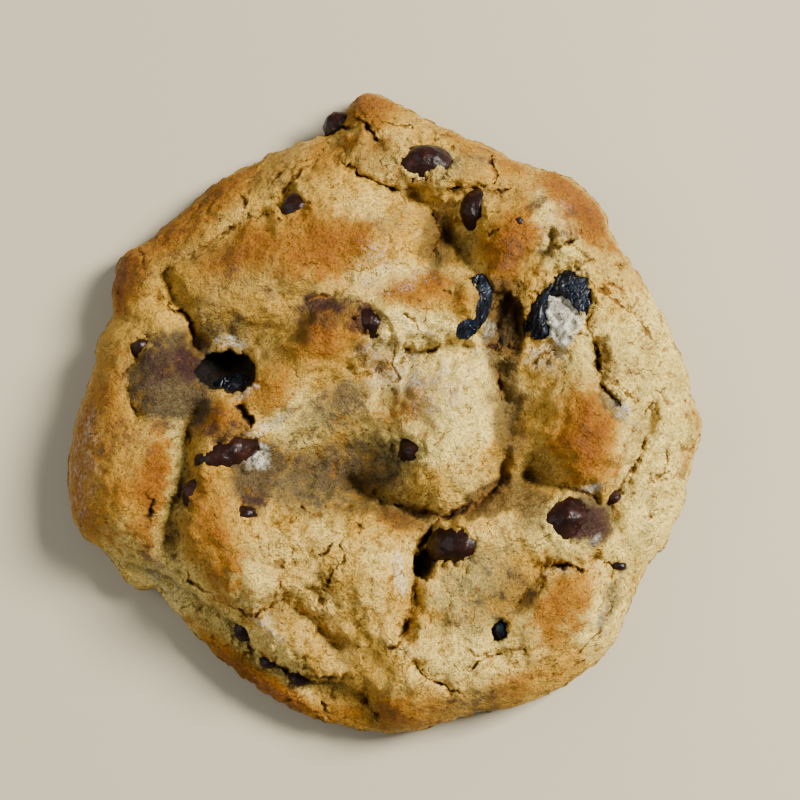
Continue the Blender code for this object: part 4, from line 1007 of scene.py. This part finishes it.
class Tone:
    """One output of a shader node. Python's operators on numbers add Math nodes to its material."""

    def __init__(self, recipe, socket):
        self.recipe = recipe
        self.socket = socket

    def math(self, operation, *values):
        return self.recipe.node("ShaderNodeMath", {"operation": operation}, values)

    def __add__(self, other):
        return self.math("ADD", self, other)

    def __sub__(self, other):
        return self.math("SUBTRACT", self, other)

    def __rsub__(self, other):
        return self.math("SUBTRACT", other, self)

    def __mul__(self, other):
        return self.math("MULTIPLY", self, other)

    __radd__ = __add__
    __rmul__ = __mul__

    def least(self, other):
        return self.math("MINIMUM", self, other)

    def most(self, other):
        return self.math("MAXIMUM", self, other)

    def between(self, low, high):
        """0 where the tone is at low, 1 at high, smooth between them, and held outside."""
        values = {"Value": self, "From Min": low, "From Max": high}
        return self.recipe.node("ShaderNodeMapRange", {"interpolation_type": "SMOOTHSTEP"}, values)


class Recipe:
    """A material under construction: its nodes, and the surface shader that they feed."""

    def __init__(self, name, **uniform):
        self.material = bpy.data.materials.new(name)
        self.material.use_nodes = True
        self.nodes = self.material.node_tree.nodes
        self.links = self.material.node_tree.links
        self.surface = self.nodes["Principled BSDF"]
        for socket, value in uniform.items():
            label = socket.replace("_", " ").title().replace("Ior", "IOR")
            self.surface.inputs[label].default_value = value
        self.place = self.node("ShaderNodeTexCoord", {}, {}, "Object")

    def node(self, kind, settings, values, output=0):
        """A node with its settings made first, then its sockets given values or links."""
        node = self.nodes.new(kind)
        for name, value in settings.items():
            setattr(node, name, value)
        pairs = values.items() if isinstance(values, dict) else enumerate(values)
        for key, value in pairs:
            if isinstance(value, Tone):
                self.links.new(value.socket, node.inputs[key])
            else:
                node.inputs[key].default_value = value
        return Tone(self, node.outputs[output])

    def feed(self, socket, tone):
        """Links a tone to a socket of the surface shader."""
        self.links.new(tone.socket, self.surface.inputs[socket])

    def mask(self, name):
        """A number kept on the corners of the piece's mesh."""
        return self.node("ShaderNodeAttribute", {"attribute_name": name}, {}, "Fac")

    def noise(self, size, detail=3.0, roughness=0.55, warp=0.0, place=None):
        """Cloudy noise, 0 to 1, with swells of a size in millimetres."""
        return self.node("ShaderNodeTexNoise", {}, {
            "Vector": place or self.place, "Scale": 1 / (size * MM), "Detail": detail, "Roughness": roughness,
            "Distortion": warp})

    def cells(self, size, place, feature="F1"):
        """The distance in a pattern of cells of a size: from their middles, or from their edges."""
        return self.node("ShaderNodeTexVoronoi", {"feature": feature},
                         {"Vector": place, "Scale": 1 / (size * MM)}, "Distance")

    def stirred(self, size, amount):
        """The place on the piece, moved about by noise of a size, by up to an amount, in millimetres."""
        cloud = self.node("ShaderNodeTexNoise", {}, {"Vector": self.place, "Scale": 1 / (size * MM)}, "Color")
        middle = self.node("ShaderNodeVectorMath", {"operation": "SUBTRACT"}, [cloud, (0.5, 0.5, 0.5)])
        return self.node("ShaderNodeVectorMath", {"operation": "MULTIPLY_ADD"},
                         [middle, (2 * amount * MM,) * 3, self.place])

    def blend(self, share, first, second, mode="MIX"):
        """One colour over another."""
        settings = {"data_type": "RGBA", "blend_type": mode}
        pad = [(*c, 1) if isinstance(c, tuple) else c for c in (first, second)]
        return self.node("ShaderNodeMix", settings, {0: share, 6: pad[0], 7: pad[1]}, 2)

    def bumps(self, *layers):
        """Bump nodes one on the other, each from a height tone and how far it stands out in millimetres."""
        normal = None
        for tone, depth in layers:
            values = {"Height": tone, "Distance": depth * MM, "Strength": 1.0}
            if normal:
                values["Normal"] = normal
            normal = self.node("ShaderNodeBump", {}, values)
        self.feed("Normal", normal)


# The colours of the dough, pale to dark
PALE = (0.63, 0.352, 0.04)
CREAM = (0.98, 0.73, 0.195)
OLIVE = (0.36, 0.19, 0.036)
GOLDEN = (0.41, 0.174, 0.01)
ORANGE_BROWN = (0.28, 0.092, 0.006)
DEEP_BROWN = (0.135, 0.046, 0.008)
# What colours it over, by its mask, stains and painted shade among them: (how uneven each is by the middle,
# the fine and the coarse noise, from and to which strength it grows, how much it covers at most, colour)
STAINS_AND_SHADE = {
    "grey_stain_and_shade": (1.7, 1.1, 0.6, 0.15, 1.15, 0.9, (0.052, 0.041, 0.027)),
    "painted_shade": (1.3, 0.9, 0, 0.1, 1.1, 0.85, (0.09, 0.05, 0.014)),
    "purple": (1.1, 0.6, 0, 0.25, 0.85, 0.9, (0.048, 0.017, 0.016)),
    "whitened": (0.7, 0.7, 0, 0.2, 1, 0.95, (0.88, 0.87, 0.7)),
}
# The colours of its torn cracks and crumbs, and of the painted shade in its pits, cracks, crevices and crumb
# gaps
PIT_SHADE_BLACK = (0.005, 0.004, 0.005)
LIP_GLOW = (1.17, 1.15, 1.11)
TORN_AMBER_AND_GAP_SHADE = (0.27, 0.115, 0.012)
CRACK_SHADE = (0.05, 0.021, 0.008)
CREVICE_SHADE = (0.13, 0.066, 0.02)
HAIRLINE = (0.15, 0.066, 0.016)
# What the grain multiplies them all by, from its dark specks to its bright ones
DARK_SPECK = (0.55, 0.51, 0.43)
BRIGHT_SPECK = (1.2, 1.21, 1.25)

CHOCOLATE = (0.009, 0.0027, 0.0017)
CHOCOLATE_WORN = (0.02, 0.0058, 0.0036)
CHOCOLATE_BLOOM = (0.05, 0.019, 0.013)
STUCK_CRUMB = (0.3, 0.15, 0.03)

BERRY_BLACK = (0.0012, 0.002, 0.0045)
BERRY_BLUE = (0.007, 0.014, 0.03)
# How the long wrinkles of the two berries in sight lie, and how many times longer than wide they are
BERRY_LIE = math.radians(70)
BERRY_DRAWN_OUT = 3.5

FLOOR_COLOUR = (0.43, 0.375, 0.26, 1)
FLOOR_SIZE = 1.5
SKY_COLOUR = (0.86, 0.93, 1, 1)
SKY_STRENGTH = 0.26
# name: (direction, distance, size, power, colour)
LAMPS = {
    "key": ((0.66, 0.22, 0.72), 1.2, 0.42, 46, (1, 0.97, 0.9)),
    "fill": ((-0.7, 0, 0.6), 1.4, 1.2, 10, (0.97, 0.98, 1)),
}


def dough_material():
    r = Recipe("baked_dough_fine", roughness=0.6, ior=1.4, specular_ior_level=0.22)
    coarse = r.noise(8)
    mid = r.noise(2, detail=5, roughness=0.6)
    fine = r.noise(0.62, detail=4, roughness=0.65)
    sand = r.noise(0.3, detail=2, roughness=0.6)
    coarse_swing = coarse - 0.5
    mid_swing = mid - 0.5
    fine_swing = fine - 0.5
    browned = r.mask("browned")
    torn = r.mask("torn")
    cut = r.mask("cut")
    crumbly = r.mask("crumbly")
    hollow = r.mask("hollow")

    creamy = coarse + r.mask("creamy") * 0.35 + mid_swing * 0.4
    colour = r.blend(creamy.between(0.38, 0.85), PALE, CREAM)
    dull = mid * 0.7 + fine * 0.5 + r.mask("creamy") * 0.1
    colour = r.blend(dull.between(0.62, 0.4) * 0.55, colour, OLIVE)
    baked = browned * (1.35 - hollow.between(-1.2, 1.2) * 0.8)
    baked = baked + coarse_swing * 0.8 + mid_swing * 1.1 + fine_swing * 0.9
    colour = r.blend(baked.between(0.05, 0.62), colour, GOLDEN)
    colour = r.blend(baked.between(0.45, 1.1), colour, ORANGE_BROWN)
    colour = r.blend(baked.between(0.95, 1.6), colour, DEEP_BROWN)

    # Stains, painted shade, chocolate showing purple and whitened dough, each laid over the colour so far
    for name, (by_mid, by_fine, by_coarse, low, high, cover, tint) in STAINS_AND_SHADE.items():
        stain_and_shade = r.mask(name) + mid_swing * by_mid + fine_swing * by_fine + coarse_swing * by_coarse
        colour = r.blend(stain_and_shade.between(low, high) * cover, colour, tint)

    lip = torn.between(0.02, 0.35) * (1 - torn.between(0.45, 0.85)) * fine.between(0.4, 0.6)
    colour = r.blend(lip, colour, LIP_GLOW, "MULTIPLY")
    colour = r.blend(torn.between(0.45, 0.95) * (0.3 + fine), colour, TORN_AMBER_AND_GAP_SHADE)
    # Painted shade in the cracks, darker the deeper they cut
    ragged = cut + (fine_swing * 1.1 + (sand - 0.5) * 0.7) * cut.between(0, 0.3)
    colour = r.blend(ragged.between(0.35, 1), colour, CRACK_SHADE)
    # Painted shade in the hollows: the further a place lies below the dough round it, the darker
    colour = r.blend((hollow + fine_swing * 1.3).between(0.3, 2.6) * 0.3, colour, CREVICE_SHADE)
    # Painted shade: the pits turn black, the more the deeper they are
    pit_shade = r.mask("pit_shade") + fine_swing * 0.5
    colour = r.blend(pit_shade.between(0.3, 0.75) * 0.95, colour, PIT_SHADE_BLACK)
    # The gaps between the crumbs take the torn amber: partly the torn dough's colour, partly painted shade
    shade_between_crumbs = r.mask("between").between(0.35, 0.95) * fine.between(0.3, 0.6)
    colour = r.blend(shade_between_crumbs * 0.5, colour, TORN_AMBER_AND_GAP_SHADE)
    specks = mid * 0.25 + fine * 0.45 + sand * 0.3
    speckle = r.blend(specks.between(0.4, 0.6), DARK_SPECK, BRIGHT_SPECK)
    colour = r.blend(1, colour, speckle, "MULTIPLY")

    lines = r.cells(3.4, r.stirred(1.6, 0.9), "DISTANCE_TO_EDGE")
    hairs = (1 - lines.between(0, 0.035)) * r.noise(2.6, detail=2).between(0.54, 0.66)
    pores_here = r.noise(4, detail=2).between(0.36, 0.66)
    pores = (1 - r.cells(1.1, r.stirred(0.5, 0.25)).between(0.05, 0.17)) * pores_here
    pits = (1 - r.cells(2.7, r.stirred(0.9, 0.5)).between(0.05, 0.15)) * (0.35 + crumbly)
    marks = (hairs * 0.8).most(pores * 0.9).most(pits.least(0.95))
    r.feed("Base Color", r.blend(marks, colour, HAIRLINE))
    greasy = r.noise(0.45, detail=1).between(0.6, 0.72)
    r.feed("Roughness", (0.66 - browned.between(0.2, 1) * 0.12 - greasy * 0.34).most(0.26))
    r.bumps((mid, 1.2), (fine * (0.9 + crumbly * 0.9), 0.8), (sand, 0.26), (1 - marks, 0.3))
    return r.material


def chocolate_material():
    r = Recipe("chocolate_fine", roughness=0.3, ior=1.45, specular_ior_level=0.2)
    cloud = r.noise(2.4)
    fine = r.noise(0.4)
    colour = r.blend(cloud.between(0.35, 0.7), CHOCOLATE, CHOCOLATE_WORN)
    bloom = (cloud + (fine - 0.5) * 0.6).between(0.6, 0.8)
    colour = r.blend(bloom * 0.4, colour, CHOCOLATE_BLOOM)
    stuck = r.noise(0.7, roughness=0.7).between(0.66, 0.74)
    r.feed("Base Color", r.blend(stuck * 0.8, colour, STUCK_CRUMB))
    r.feed("Roughness", 0.34 + bloom * 0.25 + (fine - 0.5) * 0.2 + stuck * 0.3)
    r.bumps((cloud, 0.3), (fine, 0.05), (stuck, 0.15))
    return r.material


def berry_material():
    r = Recipe("berry_skin_fine", roughness=0.3, ior=1.45, specular_ior_level=0.3)
    cloud = r.noise(1.8, detail=4)
    fine = r.noise(0.3)
    along = r.node("ShaderNodeMapping", {"vector_type": "TEXTURE"}, {
        "Vector": r.place, "Rotation": (0, 0, BERRY_LIE), "Scale": (BERRY_DRAWN_OUT, 1, 1)})
    fold = r.noise(1.1, detail=2, roughness=0.45, warp=0.5, place=along) - 0.5
    furrow = fold.most(0 - fold).between(0, 0.09)
    r.feed("Base Color", r.blend(cloud.between(0.4, 0.75), BERRY_BLACK, BERRY_BLUE))
    r.feed("Roughness", 0.24 + cloud.between(0.3, 0.8) * 0.2)
    r.bumps((furrow, 0.2), (fine, 0.02))
    return r.material


def floor_material():
    r = Recipe("pale_floor", roughness=0.55, base_color=FLOOR_COLOUR)
    return r.material


def make_camera(middle):
    """The camera of the photograph, moved as the cookie is from its place in the photograph."""
    c, s = math.cos(SIGHT_ANGLE), math.sin(SIGHT_ANGLE)
    data = bpy.data.cameras.new("camera")
    data.sensor_width = SENSOR
    data.lens = SENSOR * SIGHT_DISTANCE / PICTURE_WIDTH
    data.shift_x = PICTURE_MIDDLE[0] / PICTURE_WIDTH
    data.shift_y = PICTURE_MIDDLE[1] / PICTURE_WIDTH
    data.clip_start = 0.01
    camera = bpy.data.objects.new("camera", data)
    back, up = -SIGHT_DISTANCE * c - middle[1], SIGHT_HEIGHT + SIGHT_DISTANCE * s
    camera.location = (-middle[0] * MM, back * MM, up * MM)
    camera.rotation_euler = (math.pi / 2 - SIGHT_ANGLE, 0, 0)
    bpy.context.collection.objects.link(camera)
    bpy.context.scene.camera = camera


def make_lamp(name, direction, distance, size, power, colour):
    """A square soft light at a distance along a direction, facing the cookie."""
    data = bpy.data.lights.new(name, "AREA")
    data.size = size
    data.energy = power
    data.color = colour
    light = bpy.data.objects.new(name, data)
    way = Vector(direction).normalized()
    light.location = way * distance
    light.rotation_euler = way.to_track_quat("Z", "Y").to_euler()
    bpy.context.collection.objects.link(light)


def make_studio():
    """A pale floor under an even sky, with a key light and a fill light."""
    world = bpy.data.worlds.new("studio")
    bpy.context.scene.world = world
    world.use_nodes = True
    sky = world.node_tree.nodes["Background"]
    sky.inputs["Color"].default_value = SKY_COLOUR
    sky.inputs["Strength"].default_value = SKY_STRENGTH
    for name, row in LAMPS.items():
        make_lamp(name, *row)

    bm = bmesh.new()
    bmesh.ops.create_grid(bm, x_segments=1, y_segments=1, size=FLOOR_SIZE)
    mesh = bpy.data.meshes.new("floor")
    bm.to_mesh(mesh)
    bm.free()
    mesh.materials.append(floor_material())
    floor = bpy.data.objects.new("floor", mesh)
    bpy.context.collection.objects.link(floor)


def main():
    mesh, middle = make_dough()
    mesh.materials.append(dough_material())
    dough = bpy.data.objects.new("fine_dough", mesh)
    bpy.context.collection.objects.link(dough)
    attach(dough, "root")
    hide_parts("cookie_dough")

    chocolate = chocolate_material()
    for seed, (name, row) in enumerate(CHIPS.items()):
        set_piece(name, chip_shape(name, row, seed), row, middle, chocolate)
    skin = berry_material()
    for seed, (name, row) in enumerate(BERRIES.items()):
        set_piece(name, berry_shape(name, row, seed), row, middle, skin)
    make_camera(middle)
    make_studio()


main()
